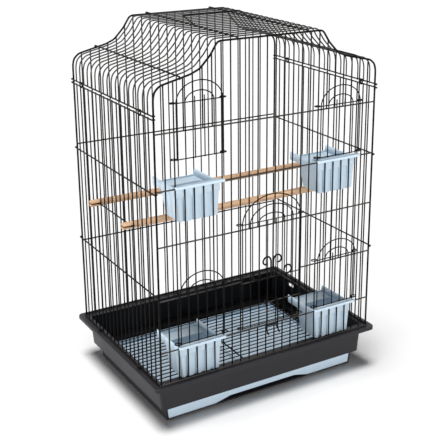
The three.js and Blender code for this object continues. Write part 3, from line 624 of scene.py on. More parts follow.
def carry(shell, line, radius, across, sides=10):
    """A round section carried along a line. Ring i is line[i] + radius * size[i] * (cos a
    * n + sin a * b): n is `across` made square to the line, and b is along x n. At both
    ends the rings shrink on a quarter circle to a closed tip, inside the wire's length."""
    line = np.asarray(line, float)
    way = np.diff(line, axis=0)
    way /= np.linalg.norm(way, axis=1)[:, None]
    along = np.concatenate([way[:1], way[:-1] + way[1:], way[-1:]])
    lean = np.array([90, 60, 30, 0]) * np.pi / 180
    back = radius * (1 - np.sin(lean))[:, None]
    start = line[0] + along[0] * back
    stop = (line[-1] - way[-1] * back)[::-1]
    points = np.concatenate([start, line[1:-1], stop])
    size = np.concatenate([np.cos(lean), np.ones(len(line) - 2), np.cos(lean)[::-1]])
    size = np.maximum(size, WIRE_TIP)
    first, last = np.repeat(along[:1], len(lean), 0), np.repeat(along[-1:], len(lean), 0)
    along = np.concatenate([first, along[1:-1], last])
    along /= np.linalg.norm(along, axis=1)[:, None]
    n = np.asarray(across, float) - along * (along @ np.asarray(across, float))[:, None]
    n /= np.linalg.norm(n, axis=1)[:, None]
    b = np.cross(along, n)
    angle = np.linspace(0, 2 * np.pi, sides, endpoint=False)[None, :, None]
    around = np.cos(angle) * n[:, None] + np.sin(angle) * b[:, None]
    rows = points[:, None] + radius * size[:, None, None] * around
    return shell.grid(rows, closed=False)


def straight(shell, start, stop, radius, across, sides=10):
    """A straight wire: the line from start over the point halfway to stop."""
    start, stop = np.asarray(start, float), np.asarray(stop, float)
    return carry(shell, [start, (start + stop) / 2, stop], radius, across, sides)


def arch_height(x):
    """Height of the arch over x: straight lines between the corners of ARCH."""
    return float(np.interp(-abs(x), -ARCH[:, 0], ARCH[:, 1]))


def arch_line(foot, outward, y):
    """The arched edge from the left foot to the right foot, moved outward by a distance:
    each corner moves along the line that halves its bend."""
    right = np.concatenate([[[HALF_LENGTH, foot]], ARCH])
    whole = np.concatenate([right, (right * [-1, 1])[::-1]])
    way = np.diff(whole, axis=0)
    way /= np.linalg.norm(way, axis=1)[:, None]
    normal = np.stack([way[:, 1], -way[:, 0]], axis=1)
    middle = np.concatenate([normal[:1], normal[:-1] + normal[1:], normal[-1:]])
    middle /= np.linalg.norm(middle, axis=1)[:, None]
    stretch = outward / np.maximum((middle[:-1] * normal).sum(axis=1), 0.5)
    stretch = np.append(stretch, outward)
    moved = whole + middle * stretch[:, None]
    return np.insert(moved[::-1], 1, y, axis=1)


def bar_x(index):
    return -HALF_LENGTH + index * PITCH


def upright_spans(index, doorways):
    """Lowest and highest point of each stretch of a bar, with the doorways left out."""
    top = arch_height(bar_x(index)) + TOP_TUCK
    if doorways and any(left < index < right for left, right in FEEDER_BARS):
        return [(PANEL_FOOT, RAILS[0] + TUCK), (RAILS[1] - TUCK, RAILS[3] + TUCK),
            (RAILS[4] - TUCK, top)]
    if doorways and MAIN_BARS[0] < index < MAIN_BARS[1]:
        return [(PANEL_FOOT, RAILS[0] + TUCK), (RAILS[2] - TUCK, top)]
    return [(PANEL_FOOT, top)]


def long_panel(rails, doorways):
    """Heavy outer wire, bars in its plane, and rails in front of them. The rails take the
    second finish, which on the front is the lighter coat of painted highlight."""
    shell = Shell()
    carry(shell, eased(arch_line(PANEL_FOOT, 0, 0), FRAME_BEND), FRAME_WIRE, (0, 1, 0), 12)
    for index in range(1, GAPS):
        x = bar_x(index)
        for low, high in upright_spans(index, doorways):
            straight(shell, (x, 0, low), (x, 0, high), BAR, (0, 1, 0))
    shell.mark = 1
    for z, start, stop in rails:
        straight(shell, (start, -RAIL_STEP, z), (stop, -RAIL_STEP, z), RAIL, (0, 1, 0))
    return shell


full = (-HALF_LENGTH, HALF_LENGTH)
front_rails = [(z, *full) for z in (FOOT_RAIL, RAILS[0], RAILS[2], RAILS[3], RAILS[4])]
front_rails.append((RAILS[1], -HALF_LENGTH, bar_x(MAIN_BARS[0]) + TUCK))
front_rails.append((RAILS[1], bar_x(MAIN_BARS[1]) - TUCK, HALF_LENGTH))
front = long_panel(front_rails, True).moved((0, -HALF_WIDTH, 0))
# The rails take the lighter coat, painted highlight.
front.piece("front_wires", black_coat, "cage", "black_wire", "front_panel",
    second=highlit_rail_coat, crease=WIRE_CREASE)


# Back panel: the same outer wire and bars as the front, welded and coated in the same way,
# with no doorways and only three rails, which lie outside the bars.

BACK_RAILS = (FOOT_RAIL, 241.0, 430.0)

back = long_panel([(z, *full) for z in BACK_RAILS], False)
back = back.moved((0, HALF_WIDTH, 0), math.pi)
back.piece("back_wires", black_coat, "cage", "black_wire", "back_panel", crease=WIRE_CREASE)


# End panels: 18 bars each, welded to rails whose ends are bent round the corner posts. A
# short wire across the middle bars carries the perches.

END_RAIL_X = 218.3
END_BAR_X = 216.2
END_RAILS = (248.5, 424.0, 545.0)
HOOK = 3.3
HOOK_LENGTH = 5.0
HOOK_BEND = 1.4
END_BAR_MIDDLE = 316.0
PERCH_WIRE = (218.2, 76.9, 345.0)


def end_bar_y(index):
    return -HALF_WIDTH + index * END_PITCH


def both_ends(half):
    """A wire along Y: the bent half at the front, then its mirror image at the back."""
    whole = np.concatenate([half, (half * [1, -1, 1])[::-1]])
    return eased(whole, bend=2.4, step=0.8)


def hooked_rail(z):
    """A rail along Y whose two ends turn inward round the corner posts."""
    end = HALF_WIDTH + HOOK
    x = END_RAIL_X
    return both_ends(np.array([
        [x - HOOK_LENGTH, -end, z], [x - HOOK_BEND, -end, z], [x, -end + HOOK_BEND, z],
    ]))


def end_panel():
    """Bars in one plane, rails outside them, a straight foot rail and the perches' wire."""
    shell = Shell()
    heights = (PANEL_FOOT, END_BAR_MIDDLE, END_RAILS[2] + TUCK)
    for index in range(1, END_GAPS):
        carry(shell, [[END_BAR_X, end_bar_y(index), z] for z in heights], BAR, (1, 0, 0))
    for z in END_RAILS:
        carry(shell, hooked_rail(z), RAIL, (0, 0, 1))
    foot = (END_RAIL_X, HALF_WIDTH, FOOT_RAIL)
    for (x, reach, z), radius in ((foot, RAIL), (PERCH_WIRE, BAR)):
        straight(shell, (x, -reach, z), (x, reach, z), radius, (0, 0, 1))
    return shell


for side, turn in (("right", 0.0), ("left", math.pi)):
    end = end_panel().moved(turn=turn)
    end.piece(f"{side}_end_wires", black_coat, "cage", "black_wire", f"{side}_end_panel",
        crease=WIRE_CREASE)


# Roof panel: 18 long wires bent to the arch, on a foot rail at each end and four rails
# across the top, whose ends turn down in front of the front and back panels. The long
# wires shine more, and their lighter tone is painted highlight from the light above.

ROOF_FOOT = 551.0
ROOF_OFFSET = 1.2
ROOF_RAILS = (-169.0, -66.5, 66.5, 169.0)


def roof_rail(x):
    """A rail along Y on top of the long wires, with both ends turned down. It stands off
    the arch along the normal: (the arch's fall per mm at x, 1), made one long."""
    rise = (arch_height(abs(x) - 1) - arch_height(abs(x) + 1)) / 2
    normal = np.array([math.copysign(rise, x), 1.0])
    normal /= np.linalg.norm(normal)
    cx, cz = np.array([x, arch_height(x)]) + normal * (ROOF_OFFSET + RAIL_STEP)
    end = HALF_WIDTH + HOOK
    return both_ends(np.array([
        [cx, -end, cz - HOOK_LENGTH], [cx, -end, cz - HOOK_BEND], [cx, -end + HOOK_BEND, cz],
    ]))


# The long wires' coat: its lighter tones are painted highlight from above.
highlit_roof_coat = wire_coat("painted_highlight_roof_coat", deep=(0.008, 0.0076, 0.0074),
    worn=(0.020, 0.0176, 0.0155), gloss=0.4)

roof = Shell()
for index in range(1, END_GAPS):
    line = arch_line(ROOF_FOOT - TUCK, ROOF_OFFSET, end_bar_y(index))
    carry(roof, eased(line, FRAME_BEND, step=2.0), BAR, (0, 1, 0))
roof.mark = 1
for x in ROOF_RAILS:
    carry(roof, roof_rail(x), RAIL, (1, 0, 0))
foot_rail = hooked_rail(ROOF_FOOT)
carry(roof, foot_rail, RAIL, (0, 0, 1))
carry(roof, foot_rail * [-1, -1, 1], RAIL, (0, 0, 1))
# The long wires take the lighter coat, painted highlight.
roof.piece("roof_wires", highlit_roof_coat, "cage", "black_wire", "roof_panel", second=black_coat,
    crease=WIRE_CREASE)


# Rail bands: a strip of sheet steel bent tight round an end panel's top rail and the
# roof's foot rail, two at each end. A wider collar, crimped round the upper rail, is in one
# piece with it. They hold the roof panel down.

BAND_HALF = 1.6
COLLAR_HALF = 4.0
BAND_RADIUS = 2.5
COLLAR_RADIUS = 2.3
BAND_HOLE = 1.5
BAND_RISE = 3.0
BAND_AT = (218.3, 117.6, 548.0)


def band_shell():
    """An oval in X and Z: two half circles, moved up and down by BAND_RISE, with an outer
    and an inner line, carried over the width of the band. The collar is a circle round the
    upper rail, carried in the same way."""
    shell = Shell()
    angle = np.linspace(0, 2 * np.pi, 24, endpoint=False)
    oval = np.where(np.sin(angle) >= -1e-9, BAND_RISE, -BAND_RISE)
    circle = np.full(angle.shape, BAND_RISE)
    strip, collar = (oval, BAND_HALF, BAND_RADIUS), (circle, COLLAR_HALF, COLLAR_RADIUS)
    for lift, half, outer in (strip, collar):
        rows = []
        for radius, y in ((outer, half), (outer, -half), (BAND_HOLE, -half), (BAND_HOLE, half)):
            x, z = radius * np.cos(angle), radius * np.sin(angle) + lift
            rows.append(np.stack([x, np.full(x.shape, y), z], axis=-1))
        shell.grid(np.array(rows))
    return shell


for side, to_x in (("left", -1), ("right", 1)):
    for depth, to_y in (("front", -1), ("back", 1)):
        name = f"rail_band_{side}_{depth}"
        band = band_shell().moved((to_x * BAND_AT[0], to_y * BAND_AT[1], BAND_AT[2]))
        band.piece(name + "_strip", black_coat, "cage", "black_wire", name, bevel=0.25)


# Floor grate: thin long wires on a frame of thicker wire and three cross wires. It lies on
# the ledge inside the tub.

GRATE_Z = 36.7
GRATE_HALF = (202.0, 143.0)
GRATE_FRAME = 1.4
GRATE_WIRE = 1.0
GRATE_PITCH = 12.0
GRATE_RISE = 2.0
GRATE_CROSS = 175.0
GRATE_SIDE_WIRES = 11

grate = Shell()
length, width = GRATE_HALF
for y in (-width, width):
    start, stop = (-length - GRATE_FRAME, y, GRATE_Z), (length + GRATE_FRAME, y, GRATE_Z)
    straight(grate, start, stop, GRATE_FRAME, (0, 0, 1))
for x in (-length, -GRATE_CROSS, 0.0, GRATE_CROSS, length):
    straight(grate, (x, -width, GRATE_Z), (x, width, GRATE_Z), GRATE_FRAME, (0, 0, 1))
for index in range(-GRATE_SIDE_WIRES, GRATE_SIDE_WIRES + 1):
    y, z = index * GRATE_PITCH, GRATE_Z + GRATE_RISE
    straight(grate, (-length, y, z), (length, y, z), GRATE_WIRE, (0, 0, 1))
grate.piece("floor_grate_wires", black_coat, "cage", "black_wire", "floor_grate",
    crease=WIRE_CREASE)


# Feeder doors: thin wires, coated as the panels are. The two level wires lie behind the
# door's uprights, and their ends are bent round the panel's bars, so the door slides up on
# them. Two arches stand on top, one inside the other. Only the upper left door is raised.

DOOR_WIRE = 1.0
DOOR_SIDES = 8
DOOR_PLANE = -HALF_WIDTH - 6.2
DOOR_STEP = 1.6
EYE = (5.0, 4.05)
EYE_TURN = (-90, 203)
EYE_SHIFT = 2.2
DOOR_TAIL = 1.2
DOOR_INSET = 1.6
FEEDER_X = 137.6
FEEDER_HEIGHT = 90.5
FEEDER_HALF = 43.0
FEEDER_ARCHES = ((DOOR_INSET, 33.0), (PITCH, 17.0))
FEEDER_STUB = 9.0
FEEDER_LIFT = 9.0
RAISED = 39.5


def hooked_wire(half, z):
    """A level wire whose ends go round a bar each: straight between the hooks, and each
    hook is an oval from the front, round outside and behind the bar, and nearly closed."""
    angle = np.radians(np.linspace(*EYE_TURN, 26))
    x = half + EYE[0] * np.cos(angle)
    y = DOOR_STEP + EYE[1] + EYE[1] * np.sin(angle)
    right = np.stack([x, y, np.full(x.shape, z)], axis=-1)
    left = (right * [-1, 1, 1])[::-1]
    return np.concatenate([left, [[0, DOOR_STEP, z]], right])


def arched_wire(half, height, rise):
    """Two legs and a half oval over them: x = half cos a, z = height + rise sin a."""
    angle = np.linspace(np.pi, 0, 33)
    x, z = half * np.cos(angle), height + rise * np.sin(angle)
    over = np.stack([x, np.zeros(x.shape), z], axis=-1)
    legs = np.array([[-half, 0, -DOOR_TAIL], [-half, 0, height / 2]])
    return np.concatenate([legs, over, (legs * [-1, 1, 1])[::-1]])


def feeder_door():
    """Two level wires, the arches over them and two uprights in the middle."""
    shell = Shell()
    for z in (0.0, FEEDER_HEIGHT):
        carry(shell, hooked_wire(FEEDER_HALF + EYE_SHIFT, z), DOOR_WIRE, (0, 0, 1), DOOR_SIDES)
    for inset, rise in FEEDER_ARCHES:
        arch = arched_wire(FEEDER_HALF - inset, FEEDER_HEIGHT, rise)
        carry(shell, arch, DOOR_WIRE, (0, 1, 0), DOOR_SIDES)
    for x in (-PITCH / 2, PITCH / 2):
        foot, top = (x, 0, -DOOR_TAIL), (x, 0, FEEDER_HEIGHT + FEEDER_STUB)
        straight(shell, foot, top, DOOR_WIRE, (0, 1, 0), DOOR_SIDES)
    return shell


for level, rail in (("upper", RAILS[3]), ("lower", RAILS[0])):
    for side, x in (("left", -FEEDER_X), ("right", FEEDER_X)):
        name = f"feeder_door_{level}_{side}"
        lift = FEEDER_LIFT + (RAISED if name == "feeder_door_upper_left" else 0.0)
        door = feeder_door().moved((x, DOOR_PLANE, rail + lift))
        door.piece(name + "_wires", black_coat, name, "black_wire", name, crease=WIRE_CREASE)


# Main door: the same thin wires, taller, with three arches on top of each other and a
# scroll of two mirrored curls welded to its middle level wire. The level wires take the
# lighter coat, painted highlight.

MAIN_HEIGHT = 190.5
MAIN_HALF = 60.2
MAIN_LIFT = 6.0
MAIN_SHIFT = -1.2
MAIN_ARCHES = ((DOOR_INSET, 46.0), (PITCH, 28.0), (2 * PITCH, 12.5))
SCROLL_Z = 84.6
SCROLL_WIRE = 1.55
LATCH_Z = 38.7
SCROLL = np.array([
    [9.5, 27], [14, 26.3], [17.8, 28.6], [19, 33.5], [15.8, 39], [9.5, 41], [4.5, 38],
    [2.45, 32], [2.45, 4], [4.5, 1.6], [34, 1.6], [38.6, 4], [40.2, 9], [37.8, 14.6],
    [32.5, 17.6], [27, 15.8], [24.2, 11.5], [25.2, 7.5],
])

main = Shell()
# The level wires take the lighter coat, painted highlight.
main.mark = 1
for z in (0.0, MAIN_HEIGHT):
    carry(main, hooked_wire(MAIN_HALF + EYE_SHIFT, z), DOOR_WIRE, (0, 0, 1), DOOR_SIDES)
reach = MAIN_HALF + DOOR_TAIL
for z in (SCROLL_Z, LATCH_Z):
    start, stop = (-reach, DOOR_STEP, z), (reach, DOOR_STEP, z)
    straight(main, start, stop, DOOR_WIRE, (0, 0, 1), DOOR_SIDES)
main.mark = 0
for x in (-PITCH / 2, PITCH / 2):
    foot, top = (x + MAIN_SHIFT, 0, -DOOR_TAIL), (x + MAIN_SHIFT, 0, MAIN_HEIGHT + DOOR_TAIL)
    straight(main, foot, top, DOOR_WIRE, (0, 1, 0), DOOR_SIDES)
for inset, rise in MAIN_ARCHES:
    line = arched_wire(MAIN_HALF - inset, MAIN_HEIGHT, rise) + [MAIN_SHIFT, 0, 0]
    carry(main, line, DOOR_WIRE, (0, 1, 0), DOOR_SIDES)
for side in (-1, 1):
    curl = np.insert(SCROLL * [side, 1] + [MAIN_SHIFT, SCROLL_Z], 1, -DOOR_STEP, axis=1)
    carry(main, eased(curl, bend=5.0, step=1.0), SCROLL_WIRE, (0, 1, 0))
main = main.moved((0, DOOR_PLANE, RAILS[0] + MAIN_LIFT))
main.piece("main_door_wires", black_coat, "main_door", "black_wire", "main_door",
    second=highlit_rail_coat, crease=WIRE_CREASE)


# Door latch: two legs of the same wire hang on the main door's lower level wire by an eye
# each, with a bar across them, and a short wire at each foot to lift it by.

LATCH_WIRE = 1.35
LATCH_HALF = 11.3
LATCH_EYE = 2.5
LATCH_TURN = (170, -110)
LATCH_PLANE = -4.6
LATCH_LEG = (-9.0, -30.0, -52.0)
LATCH_BAR_Z = -42.7
LATCH_FOOT = ((0, -48.14), (-11.4, -57.71))

latch = Shell()
for x in (-LATCH_HALF, LATCH_HALF):
    angle = np.radians(np.linspace(*LATCH_TURN, 20))
    y, z = LATCH_EYE * np.sin(angle), LATCH_EYE * np.cos(angle)
    loop = np.stack([np.full(angle.shape, x), y, z], axis=-1)
    leg = np.array([[x, LATCH_PLANE, z] for z in LATCH_LEG])
    drop = eased(np.concatenate([loop[-1:], leg]), bend=4.0, step=1.0)[1:]
    carry(latch, np.concatenate([loop, drop]), LATCH_WIRE, (1, 0, 0), DOOR_SIDES)
    start, stop = [(x, *corner) for corner in LATCH_FOOT]
    straight(latch, start, stop, LATCH_WIRE, (1, 0, 0), DOOR_SIDES)
start, stop = [(x, LATCH_PLANE, LATCH_BAR_Z) for x in (-LATCH_HALF, LATCH_HALF)]
straight(latch, start, stop, LATCH_WIRE, (0, 0, 1), DOOR_SIDES)
latch = latch.moved((MAIN_SHIFT, DOOR_PLANE + DOOR_STEP, RAILS[0] + MAIN_LIFT + LATCH_Z))
latch.piece("main_door_latch_wires", black_coat, "main_door_latch", "black_wire",
    "main_door_latch", crease=WIRE_CREASE)


# Feeder cups: moulded in the same pale blue plastic as the tray. A lip hangs over a rail
# of the front panel, a wide band goes round the top with two wings to the back, and the
# tapered body under it has four upright flutes at the bars' pitch.

CUP_NECK = 41.2
# Outlines seen from above: half the width, then y at the front and at the back.
CUP_RIM = (40.4, 1.8, 88.8)
CUP_BODY = (38.4, 1.8, 61.8)
CUP_FOOT = (35.8, 1.8, 51.8)
CUP_WALL = 2.0
CUP_CORNER = 2.5
CUP_LEVELS = (-59.0, -17.0, -2.0)
CUP_BACK_DROP = 10.5
# The wings: their size, and the length of the slope from them down to the low back edge.
WING_DEPTH = (5.0, 2.5)
WING_WIDTH = (1.2, 1.5)
FLUTE_SHIFT = -3.8
FLUTES = PITCH * (np.arange(4) - 1.5) + FLUTE_SHIFT
FLUTE_HALF = 3.2
FLUTE_FLAT = 0.65
FLUTE_DEPTH = 2.4
LIP_HALF = 45.2
LIP_ROUND = 0.5
LIP_END = 0.75
LIP_TOP = 3.6
LIP_PANELS = ((-42.0, -17.5), (-14.5, 42.0))
LIP_SLOPE = 0.25
LIP_SINK = 0.6
LIP_FOLD = np.array([
    [-7.0, -0.6], [-6.6, -1.0], [-5.4, -1.0], [-5.0, -0.6], [-5.0, 1.2], [-4.6, 1.6],
    [-1.8, 1.6], [-1.8, LIP_TOP], [-2.2, LIP_TOP], [-2.5, LIP_TOP], [-5.6, LIP_TOP],
    [-5.9, LIP_TOP], [-6.2, LIP_TOP], [-7.0, 2.8],
])
LIP_SINKING = [9, 10]
LIP_NECK = np.array([
    [-2.2, 1.6], [1.8, 1.6], [1.8, -4.0], [3.8, -4.0], [3.8, 2.9], [3.1, LIP_TOP],
    [-2.2, LIP_TOP],
])


def flute_marks():
    """Points along the front, close together at the edges of the flutes."""
    edge = np.array([-1.0, -0.9, -0.72, 0.0, 0.72, 0.9, 1.0]) * FLUTE_HALF
    return (FLUTES[:, None] + edge).ravel()


def fluted(rows, share):
    """Moves the front's points in by the flute depth times a flat-bottomed cosine of the
    distance from the nearest flute's middle."""
    x = rows[:, 0] / share
    near = np.abs(x[:, None] - FLUTES).min(axis=1) / FLUTE_HALF
    slope = np.clip((near - FLUTE_FLAT) / (1 - FLUTE_FLAT), 0, 1)
    dip = 0.5 + 0.5 * np.cos(np.pi * slope)
    dip = np.where(near >= 1, 0.0, dip) * FLUTE_DEPTH
    front = np.isclose(rows[:, 1], rows[:, 1].min())
    rows = rows.copy()
    rows[:, 1] += np.where(front, dip, 0)
    return rows


def cup_shell():
    """Closed rings from the outer foot up the body, out and up the band, over its edge and
    down the inside to the floor. The edge's height drops at the back between the wings."""
    shell = Shell()
    foot, waist, top = CUP_LEVELS
    marks = flute_marks()
    narrow = CUP_FOOT[0] / CUP_BODY[0]

    def level(size, inset, corner, z, share=1.0, flutes=False):
        half, low, high = size[0] - inset, size[1] + inset, size[2] - inset
        row = ring(half, low, high, corner, z, along=marks * share)
        return fluted(row, share) if flutes else row

    def lowered(row):
        behind = np.clip((row[:, 1] - (CUP_RIM[2] - WING_DEPTH[0])) / WING_DEPTH[1], 0, 1)
        edge = CUP_RIM[0] - WING_WIDTH[0] - np.abs(row[:, 0])
        row = row.copy()
        row[:, 2] -= CUP_BACK_DROP * behind * np.clip(edge / WING_WIDTH[1], 0, 1)
        return row

    # A line gives the outline's size, how far the ring stands inside it, its corner's
    # radius and its height. The body's flutes grow narrower with it, down to the foot.
    shelf = waist + CUP_WALL
    floor = foot + CUP_WALL
    rows = [
        level(CUP_FOOT, 0.8, 2.0, foot, narrow, True),
        level(CUP_FOOT, 0.0, CUP_CORNER, foot + 0.9, narrow, True),
        level(CUP_BODY, 0.0, CUP_CORNER, waist - 0.4, flutes=True),
        level(CUP_BODY, 0.0, CUP_CORNER, waist),
        level(CUP_RIM, 0.4, CUP_CORNER, waist),
        level(CUP_RIM, 0.0, CUP_CORNER, waist + 0.5),
        lowered(level(CUP_RIM, 0.0, CUP_CORNER, top - 0.5)),
        lowered(level(CUP_RIM, 0.5, 2.2, top)),
        lowered(level(CUP_RIM, CUP_WALL - 0.4, 1.4, top)),
        lowered(level(CUP_RIM, CUP_WALL, 1.2, top - 0.5)),
        level(CUP_RIM, CUP_WALL, 1.2, shelf),
        level(CUP_BODY, CUP_WALL - 0.6, 1.8, shelf),
        level(CUP_BODY, CUP_WALL, 1.5, shelf - 0.8),
        level(CUP_BODY, CUP_WALL, 1.5, shelf - 2.2, flutes=True),
        level(CUP_FOOT, CUP_WALL, 1.5, floor + 0.8, narrow, True),
        level(CUP_FOOT, CUP_WALL + 1.0, 1.2, floor, narrow, True),
    ]
    return shell.grid(rows, closed=False)


def lip_shell():
    """A section in Y and Z carried along X: up the front wall, over the rail and down in a
    short fold. Its ends are a little smaller, so the edge there is round. The top sinks by
    LIP_SINK inside two long panels: the sink at x is the depth times 1 between the panel's
    ends and 0 outside, with a slope over half a millimetre."""
    shell = Shell()
    marks = np.array(LIP_PANELS)[:, :, None] + np.array([-LIP_SLOPE, LIP_SLOPE])
    left, right = [-LIP_HALF, LIP_ROUND - LIP_HALF], [LIP_HALF - LIP_ROUND, LIP_HALF]
    stations = np.concatenate([left, marks.ravel(), right])
    inside = (stations > marks[:, :1, 0]) & (stations < marks[:, 1:, 1])
    sink = LIP_SINK * inside.any(axis=0)
    size = np.where(np.abs(stations) == LIP_HALF, LIP_END, 1.0)
    middle = LIP_FOLD.mean(axis=0)
    section = middle + (LIP_FOLD - middle) * size[:, None, None]
    section[:, LIP_SINKING, 1] -= sink[:, None]
    x = np.broadcast_to(stations[:, None, None], (*section.shape[:2], 1))
    shell.grid(np.concatenate([x, section], axis=-1), closed=False)
    neck = [np.insert(LIP_NECK, 0, x, axis=1) for x in (-CUP_NECK, 0.0, CUP_NECK)]
    return shell.grid(neck, closed=False)


for level_name, rail in (("upper", RAILS[3]), ("lower", RAILS[0])):
    for side, x in (("left", -FEEDER_X), ("right", FEEDER_X)):
        name = f"feeder_cup_{level_name}_{side}"
        body = name if name in frame["bodies"] else "cage"
        place = (x, -HALF_WIDTH, rail)
        bowl = cup_shell().moved(place)
        bowl.piece(name + "_bowl", blue_plastic, body, "pale_blue_plastic", name, crease=50)
        lip = lip_shell().moved(place)
        lip.piece(name + "_lip", blue_plastic, body, "pale_blue_plastic", name, bevel=0.3)


# Perches: turned softwood dowels. Each end has a saw cut that sits on the wire across the
# end panel's middle bars, and the tips stand out through the bars.

PERCH_HALF = 233.0
PERCH_RADIUS = 6.2
PERCH_AT = (67.2, 345.0)
PERCH_JOIN = 0.5
PERCH_TIP = (0.6, 0.92)
KERF_HALF = 1.5
KERF_DEPTH = 20.0
# The year rings' axis, in metres: how far in front of the middle, and how high.
HEART = (0.03, 0.325)
RING_TURNS = 2600
RING_SWAY = 7


def softwood():
    """Pale softwood. Year rings lie round a far axis along X, so they show as long lines on
    the side and arcs on the ends: the sine of the distance from that axis, shaken by a slow
    noise. Fine fibres run along the rod."""
    finish = Finish("perch_softwood", Specular_IOR_Level=0.3)
    sway = finish.noise(scale=1.4, stretch=(1.2, 60, 60))
    parts = finish.node("TexCoord", output="Object")
    y = finish.node("SeparateXYZ", {}, {0: parts}, output="Y")
    z = finish.node("SeparateXYZ", {}, {0: parts}, output="Z")
    far = ((y + HEART[0]) ** 2 + (z - HEART[1]) ** 2) ** 0.5
    turns = far * RING_TURNS + sway * RING_SWAY
    wave = finish.node("Math", {"operation": "SINE"}, {0: turns})
    fibre = finish.noise(scale=1.0, detail=4.0, stretch=(14, 900, 900))
    grain = 0.5 + 0.5 * wave
    tone = finish.blend(grain, (0.70, 0.455, 0.285, 1), (0.47, 0.285, 0.17, 1))
    dark = finish.ramp(fibre, (0.42, (0.38, 0.22, 0.13, 1)), (0.58, (0.74, 0.49, 0.305, 1)))
    finish.colour(finish.blend(0.42, tone, dark))
    finish.roughness(0.55 + 0.18 * fibre)
    finish.bump(fibre + 0.35 * grain, strength=0.3, distance=0.0002)
    return finish


wood_finish = softwood()


def perch_shell():
    """A round rod between the two saw cuts, and two half-round prongs past each of them.
    A ring's points are radius * (cos a, sin a); a prong keeps only the arc above the cut."""
    shell = Shell()
    inner = PERCH_HALF - KERF_DEPTH
    angle = np.linspace(0, 2 * np.pi, 28, endpoint=False)
    circle = np.stack([np.cos(angle), np.sin(angle)], axis=-1) * PERCH_RADIUS
    rod = [np.insert(circle, 0, x, axis=1) for x in (-inner, -inner / 2, 0.0, inner / 2, inner)]
    shell.grid(np.array(rod), closed=False)
    start = math.asin(KERF_HALF / PERCH_RADIUS)
    arc = np.linspace(start, np.pi - start, 15)
    length, share = PERCH_TIP
    stations = ((inner - PERCH_JOIN, 1.0), (PERCH_HALF - length, 1.0), (PERCH_HALF, share))
    for side in (-1, 1):
        for up in (-1, 1):
            rows = []
            for reach, size in stations:
                y = PERCH_RADIUS * size * np.cos(arc)
                z = np.maximum(PERCH_RADIUS * size * np.sin(arc), KERF_HALF) * up
                row = np.stack([np.full(y.shape, side * reach), y, z], axis=-1)
                rows.append(row[::side * up])
            shell.grid(np.array(rows), closed=False)
    return shell


for name, y in (("perch_front", -PERCH_AT[0]), ("perch_back", PERCH_AT[0])):
    rod = perch_shell().moved((0, y, PERCH_AT[1]))
    rod.piece(name + "_rod", wood_finish, "cage", "wood", name, crease=40)


# Carry handle: one wire bent to a bail. Each leg ends in an eye round the roof wire that
# it turns on. It leans a little up, as it does in the photograph.

HANDLE_WIRE = 1.25
HANDLE_HALF = 58.0
HANDLE_REACH = 46.0
HANDLE_EYE = 3.0
HANDLE_TURN = (-90, 150)
HANDLE_TILT = 14.0
HANDLE_AT = (0, -8.4, 656.7)
HANDLE_LEG = ((2.6, -2.0), (5.0, -0.6), (8.0, 0.0), (HANDLE_REACH, 0.0))

angle = np.radians(np.linspace(*HANDLE_TURN, 22))
eye = HANDLE_EYE * np.stack([np.cos(angle), -np.sin(angle)], axis=-1)
leg = np.array(HANDLE_LEG)
half_line = np.insert(np.concatenate([eye, leg]), 0, -HANDLE_HALF, axis=1)
middle_point = [[0.0, HANDLE_REACH, 0.0]]
whole = np.concatenate([half_line, middle_point, (half_line * [-1, 1, 1])[::-1]])
bail = Shell()
carry(bail, eased(whole, bend=5.5, step=0.8), HANDLE_WIRE, (0.05, 0.05, 1))
bail = bail.moved(HANDLE_AT, tilt=math.radians(HANDLE_TILT))
bail.piece("carry_handle_wire", black_coat, "carry_handle", "black_wire", "carry_handle",
    crease=WIRE_CREASE)


# Studio: a plain white floor that keeps the soft shadow under the base, a white room, one
# high soft lamp and two low ones. The camera stands at the photograph's angle.

FLOOR_HALF = 6.0
FLOOR_LIFT = 0.015
ROOM_LIGHT = 0.06
PHOTO = (440, 439)
FOCAL = 971.0
SENSOR = 36.0
SHIFT = (-0.065, -0.10)
CAMERA_AT = (-848.0, -1456.0, 912.0)
YAW = 31.75
PITCH_DOWN = 17.61

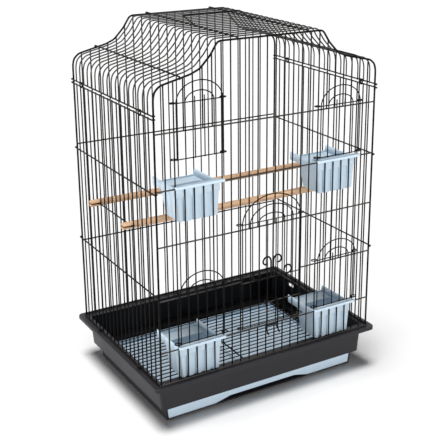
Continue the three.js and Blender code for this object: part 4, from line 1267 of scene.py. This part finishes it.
floor_mesh = bpy.data.meshes.new("studio_floor")
corners = np.array([[-1, -1, 0], [1, -1, 0], [1, 1, 0], [-1, 1, 0]]) * FLOOR_HALF
floor_mesh.from_pydata(corners.tolist(), [], [(0, 1, 2, 3)])
floor_object = put_in_scene("studio_floor", floor_mesh)


def seen(tree):
    """1 where a ray comes from the camera, from a reflection or through glass, else 0."""
    rays = tree.node("LightPath", output="Is Camera Ray")
    for kind in ("Is Glossy Ray", "Is Transmission Ray"):
        other = tree.node("LightPath", output=kind)
        rays = tree.node("Math", {"operation": "MAXIMUM"}, {0: rays, 1: other})
    return rays


floor_finish = Finish("studio_floor", Base_Color=(0.96, 0.96, 0.96, 1), Roughness=0.9,
    Specular_IOR_Level=0.1, Emission_Strength=FLOOR_LIFT)
glow = floor_finish.blend(seen(floor_finish), (0, 0, 0, 1), (1, 1, 1, 1))
floor_finish.feed(floor_finish.shader.inputs["Emission Color"], glow)
floor_mesh.materials.append(floor_finish.material)

world = bpy.data.worlds.new("studio_room")
bpy.context.scene.world = world
room = Tree(world)
background = room.nodes["Background"]
background.inputs["Color"].default_value = (1, 1, 1, 1)
room.feed(background.inputs["Strength"], ROOM_LIGHT + (1 - ROOM_LIGHT) * seen(room))


def soft_sun(name, azimuth, height, spread, strength):
    """A far lamp, so that it lights the floor evenly: its direction as an angle against
    the clock from X and a height over the floor, and the width of its disc, in degrees."""
    data = bpy.data.lights.new(name, "SUN")
    data.angle = math.radians(spread)
    data.energy = strength
    lamp = put_in_scene(name, data)
    lamp.rotation_euler = (0, math.radians(90 - height), math.radians(azimuth))


soft_sun("lamp_top", azimuth=205, height=80, spread=22, strength=3.05)
soft_sun("lamp_left", azimuth=192, height=1.5, spread=12, strength=2.5)
soft_sun("lamp_front", azimuth=282, height=1.5, spread=12, strength=1.6)

camera_data = bpy.data.cameras.new("photo_camera")
camera_data.sensor_width = SENSOR
camera_data.lens = FOCAL / PHOTO[0] * SENSOR
camera_data.shift_x, camera_data.shift_y = SHIFT
camera = put_in_scene("photo_camera", camera_data)
camera.location = np.array(CAMERA_AT) * MM
camera.rotation_euler = (math.pi / 2 - math.radians(PITCH_DOWN), 0, -math.radians(YAW))
bpy.context.scene.camera = camera

bpy.context.scene.view_settings.view_transform = "Standard"
